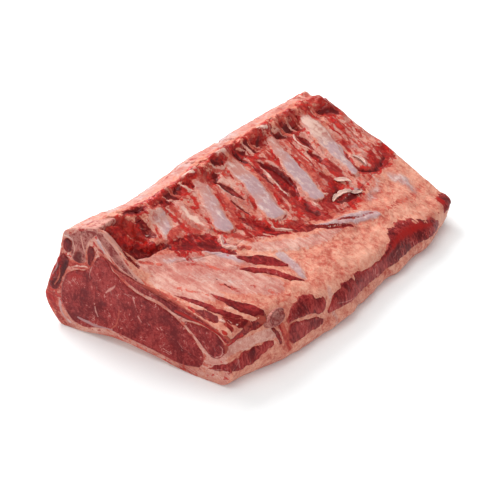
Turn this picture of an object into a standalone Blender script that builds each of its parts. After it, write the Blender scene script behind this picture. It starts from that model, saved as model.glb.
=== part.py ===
"""Raw bone-in beef short loin, trimmed of its tenderloin.

The loin rests on its fat cap with the bone side up. Metres, +Z up, +Y along the
backbone from the rib-end cut to the far cut, backbone on the -X side, belly
flank on the +X side.
"""
import math

import bmesh
import bpy
import numpy as np
from mathutils import Vector

MM = 0.001

# ---- driving sizes ----
FRONT_FACE_Y = -0.1985
FRONT_FACE_SLANT = 0.10
FRONT_FACE_LEAN = 0.06
BACK_FACE_Y = 0.2055
FOOTPRINT_SHIFT_X = 0.0006
FOOTPRINT_SHIFT_Y = 0.0022
SOCKET_GAP = 0.0003
END_OVERRUN = 0.06
FINGER_PROUD = 0.0034
FINGER_HALF_THICKNESS = 0.0056
LEAN_BED_DEPTH = 0.0115
LEAN_BED_START = -0.152
LEAN_BED_EDGE = {-152: 2.0, -120: 15.0, -92: 24.0, -66: 23.0, -40: 33.0, -15: 42.0, 26: 48.0, 56: 58.0, 82: 60.0, 110: 52.0, 150: 48.0, 210: 44.0}
DISC_GAP = 0.004
BODY_HALF_WIDTH = 0.024
BODY_HALF_HEIGHT = 0.014
BODY_CENTRE_X = -0.081
BODY_CENTRE_Z = 0.103
CREST_TILT = math.radians(17.0)
RIB_HALF_WIDTH = 0.0082
RIB_HALF_THICKNESS = 0.0058
BACKBONE_END_LIFT = 0.0025

# ---- stations of the outer shape: share of the way from the front cut ----
STATIONS = (0.0, 0.05, 0.12, 0.22, 0.34, 0.5, 0.68, 0.84, 1.0)

# height of the bone side above the table, by distance across, in mm
ACROSS = (-62.0, -50.0, -40.0, -28.0, 0.0, 30.0, 60.0, 85.0, 99.0)
HEIGHT_AT = {
    0.0: (121.0, 125.0, 120.0, 109.0, 81.0, 72.0, 64.0, 54.0, 46.0),
    0.05: (119.0, 118.0, 104.0, 95.0, 83.0, 77.0, 71.0, 60.0, 52.0),
    0.12: (117.0, 108.0, 96.0, 91.0, 83.0, 76.5, 69.5, 63.0, 57.0),
    0.34: (113.0, 102.0, 97.0, 92.0, 80.0, 69.0, 61.0, 55.0, 51.0),
    0.5: (112.0, 101.0, 96.0, 91.0, 78.0, 66.0, 57.0, 50.0, 46.0),
    0.75: (109.0, 98.0, 94.0, 89.0, 76.0, 64.0, 54.0, 47.0, 42.0),
    1.0: (105.0, 96.0, 92.0, 86.0, 73.0, 61.0, 50.0, 42.0, 37.0),
}
CREST_EDGE_X = {0.0: -90.0, 0.15: -85.0, 0.34: -80.0, 0.6: -82.0, 1.0: -86.0}
CREST_EDGE_Z = {0.0: 108.0, 0.15: 107.5, 0.34: 106.0, 0.6: 104.0, 1.0: 99.0}
FLANK_FOOT_X = {0.0: 88.0, 0.12: 99.0, 0.28: 108.0, 0.42: 117.0, 0.7: 114.0, 1.0: 117.0}
SHOULDER_Z = {0.0: 36.0, 0.12: 49.0, 0.28: 47.0, 0.4: 39.0, 0.68: 38.0, 0.84: 34.0, 1.0: 30.0}
BACKBONE_SIDE_FRONT = ((-93, 98), (-100, 77), (-109, 59), (-116, 40), (-119, 30), (-116, 19), (-108, 7), (-101, 0))
BACKBONE_SIDE_REAR = ((-91, 90), (-97, 74), (-104, 57), (-111, 40), (-114, 30), (-112, 18), (-106, 7), (-100, 0))

# ---- muscles that run from cut to cut, as outlines across, in mm ----
EYE_FRONT = (
    (-101, 31), (-95, 54), (-81, 70), (-61, 76), (-50, 95), (-39, 91), (-17, 71), (34, 53), (60, 32),
    (56, 10), (18, 7), (-38, 15), (-84, 12),
)
EYE_MIDDLE = (
    (-99, 31), (-94, 52), (-80, 68), (-62, 74), (-49, 77), (-38, 77), (-14, 66), (30, 49), (62, 33),
    (60, 11), (18, 7), (-38, 7), (-82, 9),
)
EYE_REAR = (
    (-98, 30), (-92, 51), (-79, 64), (-62, 69), (-49, 71), (-38, 71), (-14, 61), (30, 44), (64, 28),
    (63, 11), (18, 7), (-38, 7), (-82, 9),
)
MULTIFIDUS_FRONT = ((-108, 38), (-126, 44), (-126, 70), (-110, 82), (-88, 81), (-87, 74), (-92, 64), (-97, 54), (-103, 43))
MULTIFIDUS_REAR = ((-108, 38), (-124, 43), (-122, 66), (-108, 78), (-86, 79), (-85, 72), (-91, 62), (-97, 52), (-102, 42))
ILIOCOSTALIS_FRONT = ((44, 55), (60, 57), (76, 52), (85, 41), (80, 28), (69, 27), (57, 39))
ILIOCOSTALIS_NEAR = ((53, 43), (62, 45), (73, 44), (80, 39), (78, 32), (70, 29), (63, 35))
ILIOCOSTALIS_REAR = ((73, 27), (77, 32), (83, 32), (89, 27), (89, 18), (82, 16), (76, 19))
# slab of meat between the ribs: from and to across, floor at five spots, thickness, in mm
INTERCOSTAL = {
    0.0: (-8, 95, (73, 64.5, 61, 60, 52), 9.5),
    0.03: (-8, 96, (72, 63, 57.5, 55, 48), 8.5),
    0.06: (-8, 97, (71.5, 61, 53, 49.5, 43), 8.5),
    0.13: (12, 97, (63, 55, 50.5, 47, 41), 7.0),
    0.2: (30, 90, (58, 53.5, 50, 47, 43), 2.6),
}
RING_MUSCLE = (-85.5, 94.0, 5.0, 7.5)
ROUND_MUSCLE = (-62.0, 88.0, 3.8, 8.5)
SMALL_MUSCLE_DEPTH = 0.16

# ---- backbone: middle of each bone along the loin and its finger, in mm ----
BONES = {
    "vertebra_1": (-128.0, -128.0, -12.0, -138.0, 8.5),
    "vertebra_2": (-61.0, -57.0, 12.0, -72.0, 9.0),
    "vertebra_3": (5.0, 2.0, 30.0, 0.0, 10.0),
    "vertebra_4": (72.0, 75.0, 34.0, 57.0, 9.5),
    "vertebra_5": (139.0, 142.0, 31.0, 117.0, 11.0),
}
BONE_PITCH = 66.8
FIRST_BODY = ((-78, 86), (-76, 81), (-69, 81), (-68, 97), (-61, 106), (-54, 114), (-49, 119), (-49, 136), (-112, 136), (-104, 113), (-93, 106), (-80, 104))
RIB_PATH = (
    (-45.0, -193.5, 111.0), (-28.0, -191.5, 97.0), (-10.0, -187.0, 83.5), (10.0, -180.5, 73.5),
    (26.0, -173.5, 66.0), (40.0, -166.0, 62.0), (70.0, -147.0, 56.0), (98.0, -127.0, 50.0), (118.0, -112.0, 45.0),
)

# ---- flank muscles: along, across from, across to, lowest, highest, in mm ----
FLANK_MUSCLES = {
    "flank_muscle_front": ((-240, 71, 120, 8, 22), (-196, 73, 120, 8, 23), (-170, 84, 120, 10, 27), (-148, 88, 120, 12, 24), (-137, 94, 120, 15, 20)),
    "flank_muscle_middle_low": ((-113, 94, 130, 10, 22), (-104, 90, 130, 8, 28), (-84, 91, 130, 8, 29), (-70, 94, 130, 10, 28), (-64, 98, 130, 13, 22)),
    "flank_muscle_middle_high": ((-111, 92, 130, 34, 44), (-100, 88, 130, 32, 50), (-80, 90, 130, 32, 48), (-68, 95, 130, 33, 44), (-61, 100, 130, 34, 39)),
    "flank_muscle_rear": ((-57, 104, 140, 16, 22), (-45, 98, 140, 9, 32), (-28, 96, 140, 6, 41), (5, 98, 140, 6, 36), (40, 98, 140, 9, 31), (70, 98, 140, 12, 39), (105, 99, 140, 12, 38), (140, 101, 140, 13, 31), (162, 105, 140, 15, 24)),
    "flank_muscle_corner": ((174, 106, 140, 16, 24), (184, 102, 140, 13, 31), (240, 100, 140, 13, 33)),
}
# ---- thin muscle strips lying in the fat of the bone side: middle line, half width, in mm ----
SURFACE_STRIPS = {
    "belly_strip_high": (((35, -91), (48, -77), (66, -60)), 4.6),
    "belly_strip_low": (((44, -104), (66, -84), (90, -62)), 3.6),
    "rib_strip_high": (((46, -163), (66, -147), (86, -131)), 3.6),
    "rib_strip_low": (((22, -180), (46, -172), (70, -156)), 3.0),
}
STRIP_DEPTH = 0.0032


def by_station(table, share):
    """Value of a {station: value} table at a share of the length."""
    keys = sorted(table)
    return float(np.interp(share, keys, [table[k] for k in keys]))


def rings_between(table, share):
    """Outline blended between the outlines listed at stations."""
    keys = sorted(table)
    share_in = min(max(share, keys[0]), keys[-1])
    for low, high in zip(keys, keys[1:]):
        if share_in <= high:
            blend = (share_in - low) / (high - low)
            a = np.array(table[low], dtype=float)
            b = np.array(table[high], dtype=float)
            return a * (1.0 - blend) + b * blend
    return np.array(table[keys[-1]], dtype=float)


def inner_height(x_mm, share):
    """Height in mm of the bone side at a distance across."""
    row = [by_station({k: HEIGHT_AT[k][i] for k in HEIGHT_AT}, share) for i in range(len(ACROSS))]
    return float(np.interp(x_mm, ACROSS, row))


def front_y(x, z):
    """Front cut: slanted in plan and leaning back a little."""
    return FRONT_FACE_Y + FRONT_FACE_SLANT * x + FRONT_FACE_LEAN * z


def along(x, z, share):
    """Y of a point lying a share of the way between the two cuts."""
    start = front_y(x, z)
    return start + (BACK_FACE_Y - start) * share


def share_at(y):
    """Share of the length at the middle of the loin for a given y."""
    start = front_y(0.0, 0.05)
    return min(max((y - start) / (BACK_FACE_Y - start), 0.0), 1.0)


def outer_outline(share):
    """Outline of the whole loin at a station, in mm, foot of the backbone side first."""
    front_share = max(0.0, 1.0 - share / 0.35)
    lift = 3.0 * max(0.0, 1.0 - share / 0.15)
    foot = by_station(FLANK_FOOT_X, share)
    shoulder = by_station(SHOULDER_Z, share)
    side = [
        (a[0] * front_share + b[0] * (1.0 - front_share), a[1] * front_share + b[1] * (1.0 - front_share))
        for a, b in zip(BACKBONE_SIDE_FRONT, BACKBONE_SIDE_REAR)
    ]
    points = [(-88.0, 0.0), (-50.0, lift), (-22.0, lift), (30.0, 0.0), (foot - 14.0, 0.0)]
    points += [(foot - 2.0, 1.5), (foot + 4.0, 9.0), (foot + 5.0, 0.5 * shoulder + 4.0), (foot, shoulder)]
    for x in reversed(ACROSS):
        near_edge = foot - 5.0 + (x - ACROSS[-1]) * 0.15
        points.append((min(x, near_edge), inner_height(x, share)))
    crest_x = by_station(CREST_EDGE_X, share)
    crest_z = by_station(CREST_EDGE_Z, share)
    first_z = inner_height(ACROSS[0], share)
    points.append(((ACROSS[0] + crest_x) / 2.0, (first_z + crest_z) / 2.0 + 1.0))
    points.append((crest_x, crest_z))
    points += side
    return points


def mesh_object(name, verts, faces, collection):
    """Object of one closed body with outward faces."""
    mesh = bpy.data.meshes.new(name)
    bm = bmesh.new()
    made = [bm.verts.new(v) for v in verts]
    for face in faces:
        bm.faces.new([made[i] for i in face])
    bmesh.ops.recalc_face_normals(bm, faces=bm.faces[:])
    bmesh.ops.triangulate(bm, faces=bm.faces[:])
    bm.to_mesh(mesh)
    bm.free()
    obj = bpy.data.objects.new(name, mesh)
    collection.objects.link(obj)
    return obj


def loft(name, rings, collection):
    """Closed body through rings of equal point count, capped at both ends."""
    count = len(rings[0])
    verts = [v for ring in rings for v in ring]
    faces = []
    for r in range(len(rings) - 1):
        for i in range(count):
            j = (i + 1) % count
            faces.append((r * count + i, r * count + j, (r + 1) * count + j, (r + 1) * count + i))
    faces.append(tuple(range(count)))
    last = (len(rings) - 1) * count
    faces.append(tuple(last + i for i in range(count)))
    return mesh_object(name, verts, faces, collection)


def smooth(control, per_span):
    """Closed curve through the control points."""
    points = np.array(control, dtype=float)
    count = len(points)
    made = []
    for i in range(count):
        a, b, c, d = (points[(i + k) % count] for k in (-1, 0, 1, 2))
        for step in range(per_span):
            t = step / per_span
            made.append(0.5 * (2 * b + (c - a) * t + (2 * a - 5 * b + 4 * c - d) * t ** 2 + (3 * b - a - 3 * c + d) * t ** 3))
    return np.array(made)


def slab_outline(share):
    """Outline of the meat between the ribs at a station, in mm."""
    first = by_station({k: v[0] for k, v in INTERCOSTAL.items()}, share)
    last = by_station({k: v[1] for k, v in INTERCOSTAL.items()}, share)
    thick = by_station({k: v[3] for k, v in INTERCOSTAL.items()}, share)
    floor = []
    roof = []
    for i in range(5):
        x = first + (last - first) * i / 4.0
        z = by_station({k: v[2][i] for k, v in INTERCOSTAL.items()}, share)
        floor.append((x, z))
        roof.append((x, z + thick * (0.7 if i == 0 else 1.0)))
    return floor + list(reversed(roof))


def grown(outline, margin):
    """Outline in mm pushed outward by a margin in metres."""
    points = np.array(outline, dtype=float)
    if margin == 0.0:
        return points
    before = np.roll(points, 1, axis=0)
    after = np.roll(points, -1, axis=0)
    area = np.sum(points[:, 0] * after[:, 1] - after[:, 0] * points[:, 1])
    sign = 1.0 if area > 0 else -1.0
    edge_in = points - before
    edge_out = after - points
    normal_in = np.stack([edge_in[:, 1], -edge_in[:, 0]], axis=1)
    normal_out = np.stack([edge_out[:, 1], -edge_out[:, 0]], axis=1)
    normal_in /= np.linalg.norm(normal_in, axis=1)[:, None]
    normal_out /= np.linalg.norm(normal_out, axis=1)[:, None]
    middle = normal_in + normal_out
    middle /= np.linalg.norm(middle, axis=1)[:, None]
    spread = np.clip(np.sum(middle * normal_in, axis=1), 0.6, 1.0)
    return points + sign * middle * (margin / MM / spread)[:, None]


def to_ring(outline, share):
    """Outline in mm set on the surface a share of the way along the loin."""
    ring = []
    for x_mm, z_mm in outline:
        x = x_mm * MM
        z = z_mm * MM
        if share < 0.0:
            y = front_y(x, z) + share * END_OVERRUN * 10.0
        elif share > 1.0:
            y = BACK_FACE_Y + (share - 1.0) * END_OVERRUN * 10.0
        else:
            y = along(x, z, share)
        ring.append((x, y, z))
    return ring


def through_loft(name, table, shares, margin, collection):
    """Body running along the loin with outlines listed at stations."""
    rings = [to_ring(grown(rings_between(table, s), margin), s) for s in shares]
    return loft(name, rings, collection)


def intercostal(name, margin, collection):
    """Meat between the ribs, under the last rib at the front corner."""
    shares = (-0.1, 0.012, 0.03, 0.06, 0.095, 0.13, 0.2 + margin)
    rings = [to_ring(grown(slab_outline(max(s, 0.0)), margin), s) for s in shares]
    return loft(name, rings, collection)


def boolean(target, tool, operation):
    """Exact Boolean applied to the target."""
    modifier = target.modifiers.new("cut", "BOOLEAN")
    modifier.operation = operation
    modifier.solver = "EXACT"
    modifier.object = tool
    depsgraph = bpy.context.evaluated_depsgraph_get()
    done = bpy.data.meshes.new_from_object(target.evaluated_get(depsgraph))
    target.modifiers.remove(modifier)
    old = target.data
    target.data = done
    bpy.data.meshes.remove(old)


def copy_of(source, name, collection):
    """Free copy of an object."""
    obj = bpy.data.objects.new(name, source.data.copy())
    collection.objects.link(obj)
    return obj


def ellipse(centre_x, centre_z, half_x, half_z, count):
    """Ellipse outline in mm."""
    return [
        (centre_x + half_x * math.cos(2 * math.pi * i / count), centre_z + half_z * math.sin(2 * math.pi * i / count))
        for i in range(count)
    ]


def body_outline(margin, scale):
    """Rounded block of a bone body, tilted with the crest, in mm."""
    points = []
    for i in range(12):
        angle = 2 * math.pi * (i + 0.5) / 12
        c = math.cos(angle)
        s = math.sin(angle)
        u = math.copysign(abs(c) ** 0.6, c) * BODY_HALF_WIDTH * scale / MM
        v = math.copysign(abs(s) ** 0.6, s) * BODY_HALF_HEIGHT * scale / MM
        x = BODY_CENTRE_X / MM + u * math.cos(CREST_TILT) - v * math.sin(CREST_TILT)
        z = BODY_CENTRE_Z / MM + u * math.sin(CREST_TILT) + v * math.cos(CREST_TILT)
        points.append((x, z))
    return grown(points, margin)


def body_block(name, start, end, margin, collection):
    """Bone body between two discs, waisted in the middle."""
    rings = []
    for step, scale in ((0.0, 0.93), (0.12, 1.0), (0.5, 0.94), (0.88, 1.0), (1.0, 0.93)):
        y = (start - margin) + (end - start + 2 * margin) * step
        rings.append([(p[0] * MM, y, p[1] * MM) for p in body_outline(margin, scale)])
    return loft(name, rings, collection)


def finger(name, root_y, tip_x, tip_y, half_width, margin, collection):
    """Flat side process running out over the eye muscle."""
    rings = []
    start_x = -76.0
    steps = (0.0, 0.2, 0.34, 0.5, 0.66, 0.82, 0.94, 1.0)
    for step in steps:
        x = start_x + (tip_x - start_x) * step
        blend = max(0.0, (x + 48.0) / (tip_x + 48.0))
        y = root_y + (tip_y - root_y) * blend
        surface = inner_height(max(x, -50.0), share_at(y * MM))
        wide = half_width * (1.0 + 0.12 * math.cos(math.pi * step))
        thick = FINGER_HALF_THICKNESS / MM
        if step > 0.9:
            wide *= 0.9 if step < 1.0 else 0.62
            thick *= 0.8 if step < 1.0 else 0.5
        centre = surface + FINGER_PROUD / MM - thick
        wide += margin / MM
        thick += margin / MM
        ring = []
        for i in range(10):
            angle = 2 * math.pi * (i + 0.5) / 10
            c = math.cos(angle)
            s = math.sin(angle)
            ring.append((
                (x + (margin / MM if step == 1.0 else 0.0)) * MM,
                (y + wide * math.copysign(abs(c) ** 0.6, c)) * MM,
                (centre + thick * math.copysign(abs(s) ** 0.7, s)) * MM,
            ))
        rings.append(ring)
    return loft(name, rings, collection)


def rib(name, margin, collection):
    """Last rib: sawn along the front cut, its end showing on the flank."""
    path = [Vector(p) * MM for p in RIB_PATH]
    rings = []
    for i, point in enumerate(path):
        ahead = path[min(i + 1, len(path) - 1)]
        behind = path[max(i - 1, 0)]
        run = (ahead - behind).normalized()
        side = Vector((0.0, 0.0, 1.0)).cross(run).normalized()
        up = run.cross(side).normalized()
        shift = Vector((0.0, 0.0, 0.0))
        if i == 0:
            shift = -run * margin
        if i == len(path) - 1:
            shift = run * margin
        ring = []
        for k in range(12):
            angle = 2 * math.pi * k / 12
            offset = side * math.cos(angle) * (RIB_HALF_WIDTH + margin) + up * math.sin(angle) * (RIB_HALF_THICKNESS + margin)
            ring.append(tuple(point + offset + shift))
        rings.append(ring)
    return loft(name, rings, collection)


def slab_along(name, rows, margin, collection):
    """Flank muscle from rows of along, across from, across to, lowest, highest."""
    rings = []
    grow = margin / MM
    for index, (y, x0, x1, z0, z1) in enumerate(rows):
        if index == 0:
            y -= grow
        if index == len(rows) - 1:
            y += grow
        round_z = min(3.0, (z1 - z0) * 0.3)
        outline = [
            (x0 - grow, z0 + round_z), (x0 + round_z, z0 - grow), (x1, z0 - grow),
            (x1, z1 + grow), (x0 + round_z, z1 + grow), (x0 - grow, z1 - round_z),
        ]
        rings.append([(p[0] * MM, y * MM, p[1] * MM) for p in outline])
    return loft(name, rings, collection)


def surface_strip(name, line, half_width, margin, collection):
    """Thin strip lying in the fat of the bone side."""
    rings = []
    points = [np.array(p, dtype=float) for p in line]
    grow = margin / MM
    for i in range(9):
        t = i / 8.0
        spot = t * (len(points) - 1)
        k = min(int(spot), len(points) - 2)
        here = points[k] + (points[k + 1] - points[k]) * (spot - k)
        run = points[-1] - points[0]
        run = run / np.linalg.norm(run)
        here = here + run * (grow if i == 8 else (-grow if i == 0 else 0.0))
        side = np.array([-run[1], run[0]])
        wide = half_width * (0.35 + 0.65 * math.sin(math.pi * min(max(t, 0.08), 0.92))) + grow
        ring = []
        for across_step, deep in ((-1.0, 0.35), (-0.5, 0.9), (0.5, 0.9), (1.0, 0.35), (1.0, -2.5), (-1.0, -2.5)):
            p = here + side * wide * across_step
            top = inner_height(p[0], share_at(p[1] * MM))
            z = top - (deep * STRIP_DEPTH / MM + (grow if deep > 0 else 0.0))
            ring.append((p[0] * MM, p[1] * MM, z * MM))
        rings.append(ring)
    return loft(name, rings, collection)


def lean_bed(name, margin, collection):
    """Layer of lean under the fingers, showing between them."""
    rings = []
    grow = margin / MM
    start = LEAN_BED_START / MM
    for y in (start - grow, -120.0, -92.0, -66.0, -40.0, -15.0, 26.0, 56.0, 82.0, 110.0, 150.0, 240.0):
        share = share_at(y * MM)
        edge = by_station(LEAN_BED_EDGE, y)
        outline = []
        for x, depth in ((-47.5 - grow, 0.5), (-40.0, 1.0), (-24.0, 1.0), (-8.0, 1.0), (edge - 6.0, 0.9), (edge + grow, 0.5)):
            outline.append((x, inner_height(x, share) - LEAN_BED_DEPTH / MM * depth - grow))
        outline += [(edge + grow, 130.0), (-47.5 - grow, 130.0)]
        rings.append([(p[0] * MM, y * MM, p[1] * MM) for p in outline])
    return loft(name, rings, collection)


MATERIALS = {
    "fat": ((0.74, 0.42, 0.33), 0.5),
    "lean": ((0.33, 0.05, 0.05), 0.45),
    "bone": ((0.72, 0.60, 0.58), 0.5),
}


def material(slot):
    """Principled material of a slot, with its own colour and roughness."""
    name = "mat_" + slot
    if name in bpy.data.materials:
        return bpy.data.materials[name]
    made = bpy.data.materials.new(name)
    made.use_nodes = True
    shader = made.node_tree.nodes["Principled BSDF"]
    colour, roughness = MATERIALS[slot]
    shader.inputs["Base Color"].default_value = (*colour, 1.0)
    shader.inputs["Roughness"].default_value = roughness
    return made


def main():
    for obj in list(bpy.data.objects):
        bpy.data.objects.remove(obj, do_unlink=True)
    scene = bpy.context.scene
    shown = bpy.data.collections.new("beef_short_loin")
    cutters = bpy.data.collections.new("cutters")
    scene.collection.children.link(shown)
    scene.collection.children.link(cutters)

    envelope = loft("envelope", [to_ring(outer_outline(s), s) for s in STATIONS], cutters)
    gap = SOCKET_GAP
    through = (-0.1, 0.02, 0.07, 0.13, 0.3, 0.5, 0.75, 0.98, 1.1)
    parts = {}
    sockets = {}

    def add(name, slot, build):
        """Part cut flush with the outer shape, and its grown socket cutter."""
        body = build(name, 0.0, shown)
        boolean(body, envelope, "INTERSECT")
        parts[name] = (body, slot)
        sockets[name] = build(name + "_socket", gap, cutters)

    eye = {0.0: smooth(EYE_FRONT, 2), 0.24: smooth(EYE_MIDDLE, 2), 0.5: smooth(EYE_MIDDLE, 2), 1.0: smooth(EYE_REAR, 2)}
    add("eye_muscle", "lean", lambda n, m, c: through_loft(n, eye, (-0.1, 0.02, 0.06, 0.12, 0.22, 0.34, 0.5, 0.75, 0.98, 1.1), m, c))
    backstrap = {0.0: MULTIFIDUS_FRONT, 0.3: MULTIFIDUS_REAR, 1.0: MULTIFIDUS_REAR}
    add("multifidus", "lean", lambda n, m, c: through_loft(n, backstrap, through, m, c))
    costal = {0.0: smooth(ILIOCOSTALIS_FRONT, 2), 0.075: smooth(ILIOCOSTALIS_NEAR, 2), 1.0: smooth(ILIOCOSTALIS_REAR, 2)}
    add("iliocostalis", "lean", lambda n, m, c: through_loft(n, costal, (-0.1, 0.02, 0.045, 0.075, 0.15, 0.3, 0.5, 0.75, 0.98, 1.1), m, c))
    add("last_rib", "bone", rib)
    add("intercostal_muscle", "lean", intercostal)
    ring = {0.0: ellipse(*RING_MUSCLE, 10), 1.0: ellipse(*RING_MUSCLE, 10)}
    add("ring_muscle", "lean", lambda n, m, c: through_loft(n, ring, (-0.1, 0.02, 0.075 + m), m, c))
    knob = {0.0: ellipse(*ROUND_MUSCLE, 10), 1.0: ellipse(*ROUND_MUSCLE, 10)}
    add("round_muscle", "lean", lambda n, m, c: through_loft(n, knob, (-0.1, 0.02, 0.10 + m), m, c))
    boolean(parts["intercostal_muscle"][0], sockets["last_rib"], "DIFFERENCE")

    def first_body(name, margin, collection):
        outline = grown(FIRST_BODY, margin)
        rings = [
            [(p[0] * MM, y, p[1] * MM) for p in outline]
            for y in (-0.25, -0.164 + margin)
        ]
        return loft(name, rings, collection)

    add("vertebra_0", "bone", first_body)
    for index, (name, (middle, root_y, tip_x, tip_y, wide)) in enumerate(BONES.items()):
        start = (-161.0 + BONE_PITCH * index) * MM + DISC_GAP / 2
        end = (-161.0 + BONE_PITCH * (index + 1)) * MM - DISC_GAP / 2
        block = body_block(name, start, end, 0.0, shown)
        boolean(block, envelope, "INTERSECT")
        spread = finger(name + "_finger", root_y, tip_x, tip_y, wide, 0.0, cutters)
        boolean(block, spread, "UNION")
        parts[name] = (block, "bone")
        socket = body_block(name + "_socket", start, end, gap, cutters)
        grown_finger = finger(name + "_finger_socket", root_y, tip_x, tip_y, wide, gap, cutters)
        boolean(socket, grown_finger, "UNION")
        sockets[name] = socket
    last_start = (-161.0 + BONE_PITCH * 5) * MM + DISC_GAP / 2
    add("vertebra_6", "bone", lambda n, m, c: body_block(n, last_start, last_start + 0.06, m, c))

    add("finger_lean", "lean", lean_bed)
    for name in BONES:
        boolean(parts["finger_lean"][0], sockets[name], "DIFFERENCE")

    for name, rows in FLANK_MUSCLES.items():
        add(name, "lean", lambda n, m, c, rows=rows: slab_along(n, rows, m, c))
    for name, (line, half_width) in SURFACE_STRIPS.items():
        add(name, "lean", lambda n, m, c, line=line, hw=half_width: surface_strip(n, line, hw, m, c))

    cover = copy_of(envelope, "fat_cover", shown)
    for socket in sockets.values():
        boolean(cover, socket, "DIFFERENCE")
    parts["fat_cover"] = (cover, "fat")

    for name, (obj, slot) in parts.items():
        obj.name = name
        obj.data.materials.clear()
        obj.data.materials.append(material(slot))
        bm = bmesh.new()
        bm.from_mesh(obj.data)
        bmesh.ops.remove_doubles(bm, verts=bm.verts[:], dist=0.00002)
        bmesh.ops.dissolve_degenerate(bm, edges=bm.edges[:], dist=0.00002)
        bmesh.ops.translate(bm, verts=bm.verts[:], vec=(FOOTPRINT_SHIFT_X, FOOTPRINT_SHIFT_Y, 0.0))
        bm.to_mesh(obj.data)
        bm.free()
        for polygon in obj.data.polygons:
            polygon.material_index = 0
    for obj in cutters.objects:
        obj.hide_render = True
        obj.display_type = "WIRE"


if __name__ == "__main__":
    main()
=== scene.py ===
"""Raw bone-in beef loin lying on its fat cap, bone side up.

The outer shape comes from named sizes at stations along the loin. The fat
cover, the muscles, the bones and the torn membranes are grids of points that
follow that shape. What lies on a surface, such as a blood recess or a sheet of
silver skin, is a Mark: it carves or raises the surface and names the tissue
that shows there, and the materials read the tissues back as attributes.
Lengths inside the classes are millimetres; meshes are written in metres.
"""
import logging
import math
from dataclasses import dataclass, field
from enum import Enum
from functools import partial
from itertools import product
from typing import Callable, Mapping, Sequence

import bmesh
import bpy
import numpy as np
from mathutils import Matrix, Vector


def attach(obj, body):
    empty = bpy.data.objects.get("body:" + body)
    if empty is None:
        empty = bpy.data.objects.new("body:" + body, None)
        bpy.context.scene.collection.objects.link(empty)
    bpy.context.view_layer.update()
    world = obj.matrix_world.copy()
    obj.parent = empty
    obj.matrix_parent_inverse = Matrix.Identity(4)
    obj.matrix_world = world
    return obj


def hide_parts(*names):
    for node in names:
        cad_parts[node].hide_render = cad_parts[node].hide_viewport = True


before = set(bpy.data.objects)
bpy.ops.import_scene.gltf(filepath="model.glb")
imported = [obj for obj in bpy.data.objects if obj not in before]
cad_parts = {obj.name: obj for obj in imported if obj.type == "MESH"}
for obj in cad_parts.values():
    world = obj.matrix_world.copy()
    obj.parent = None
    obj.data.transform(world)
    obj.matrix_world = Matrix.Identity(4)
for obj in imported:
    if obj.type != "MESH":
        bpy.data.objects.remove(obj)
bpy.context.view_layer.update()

LOG = logging.getLogger("beef_loin")
MM = 0.001
FRAME_SHIFT = np.array([0.6, 2.2, 0.0])

LATTICE = (73856093, 19349663, 83492791)

Array = np.ndarray
Path2 = Sequence[tuple[float, float]]


class Tissue(Enum):
    """Tissues that a surface can show over its own fat or lean."""

    CREAM = "cream"
    SILVER = "silver"
    EDGE = "edge"
    LEAN = "lean"
    BLOOD = "blood"
    DARK = "dark"
    PALE = "pale"
    BONE = "bone"


class Closing(Enum):
    """Ways to close a grid of points into a solid."""

    UNDER = "under"
    TUBE = "tube"


# ---------------------------------------------------------------- numbers


def soft_step(value: Array, low: float, high: float) -> Array:
    """Smooth rise from 0 at low to 1 at high."""
    t = np.clip((value - low) / (high - low), 0.0, 1.0)
    return t * t * (3.0 - 2.0 * t)


def band(value: Array, low: float, full: float, end: float, high: float) -> Array:
    """Smooth rise from low to full and fall from end to high."""
    return soft_step(value, low, full) * (1.0 - soft_step(value, end, high))


def unit(value: Array) -> Array:
    """The value held between 0 and 1."""
    return np.clip(value, 0.0, 1.0)


def in_plan(x: Array, y: Array) -> Array:
    """Places at height 0, for noise that depends on the plan alone."""
    return np.stack([x, y, np.zeros(x.shape)], -1)


def eased(at: Array, knots: Sequence[float], values: Sequence[float]) -> Array:
    """Smooth curve through a table.

    Args:
        at: Places where the curve is read.
        knots: Rising places of the table.
        values: Values of the table.

    Returns:
        The value at each place, held level beyond the ends.
    """
    k = np.asarray(knots, float)
    v = np.asarray(values, float)
    run = np.diff(k)
    rate = np.diff(v) / run
    slope = np.empty_like(v)
    slope[0], slope[-1] = rate[0], rate[-1]
    slope[1:-1] = (rate[:-1] * run[1:] + rate[1:] * run[:-1]) / (run[1:] + run[:-1])
    x = np.clip(at, k[0], k[-1])
    i = np.clip(np.searchsorted(k, x, side="right") - 1, 0, len(k) - 2)
    h = run[i]
    t = (x - k[i]) / h
    t2, t3 = t * t, t * t * t
    return (
        (2 * t3 - 3 * t2 + 1) * v[i]
        + (t3 - 2 * t2 + t) * h * slope[i]
        + (3 * t2 - 2 * t3) * v[i + 1]
        + (t3 - t2) * h * slope[i + 1]
    )


def read(table: Path2, at: Array | float) -> Array:
    """Smooth value of a table of (place, value) pairs."""
    knots, values = zip(*table)
    return eased(np.asarray(at, float), knots, values)


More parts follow.
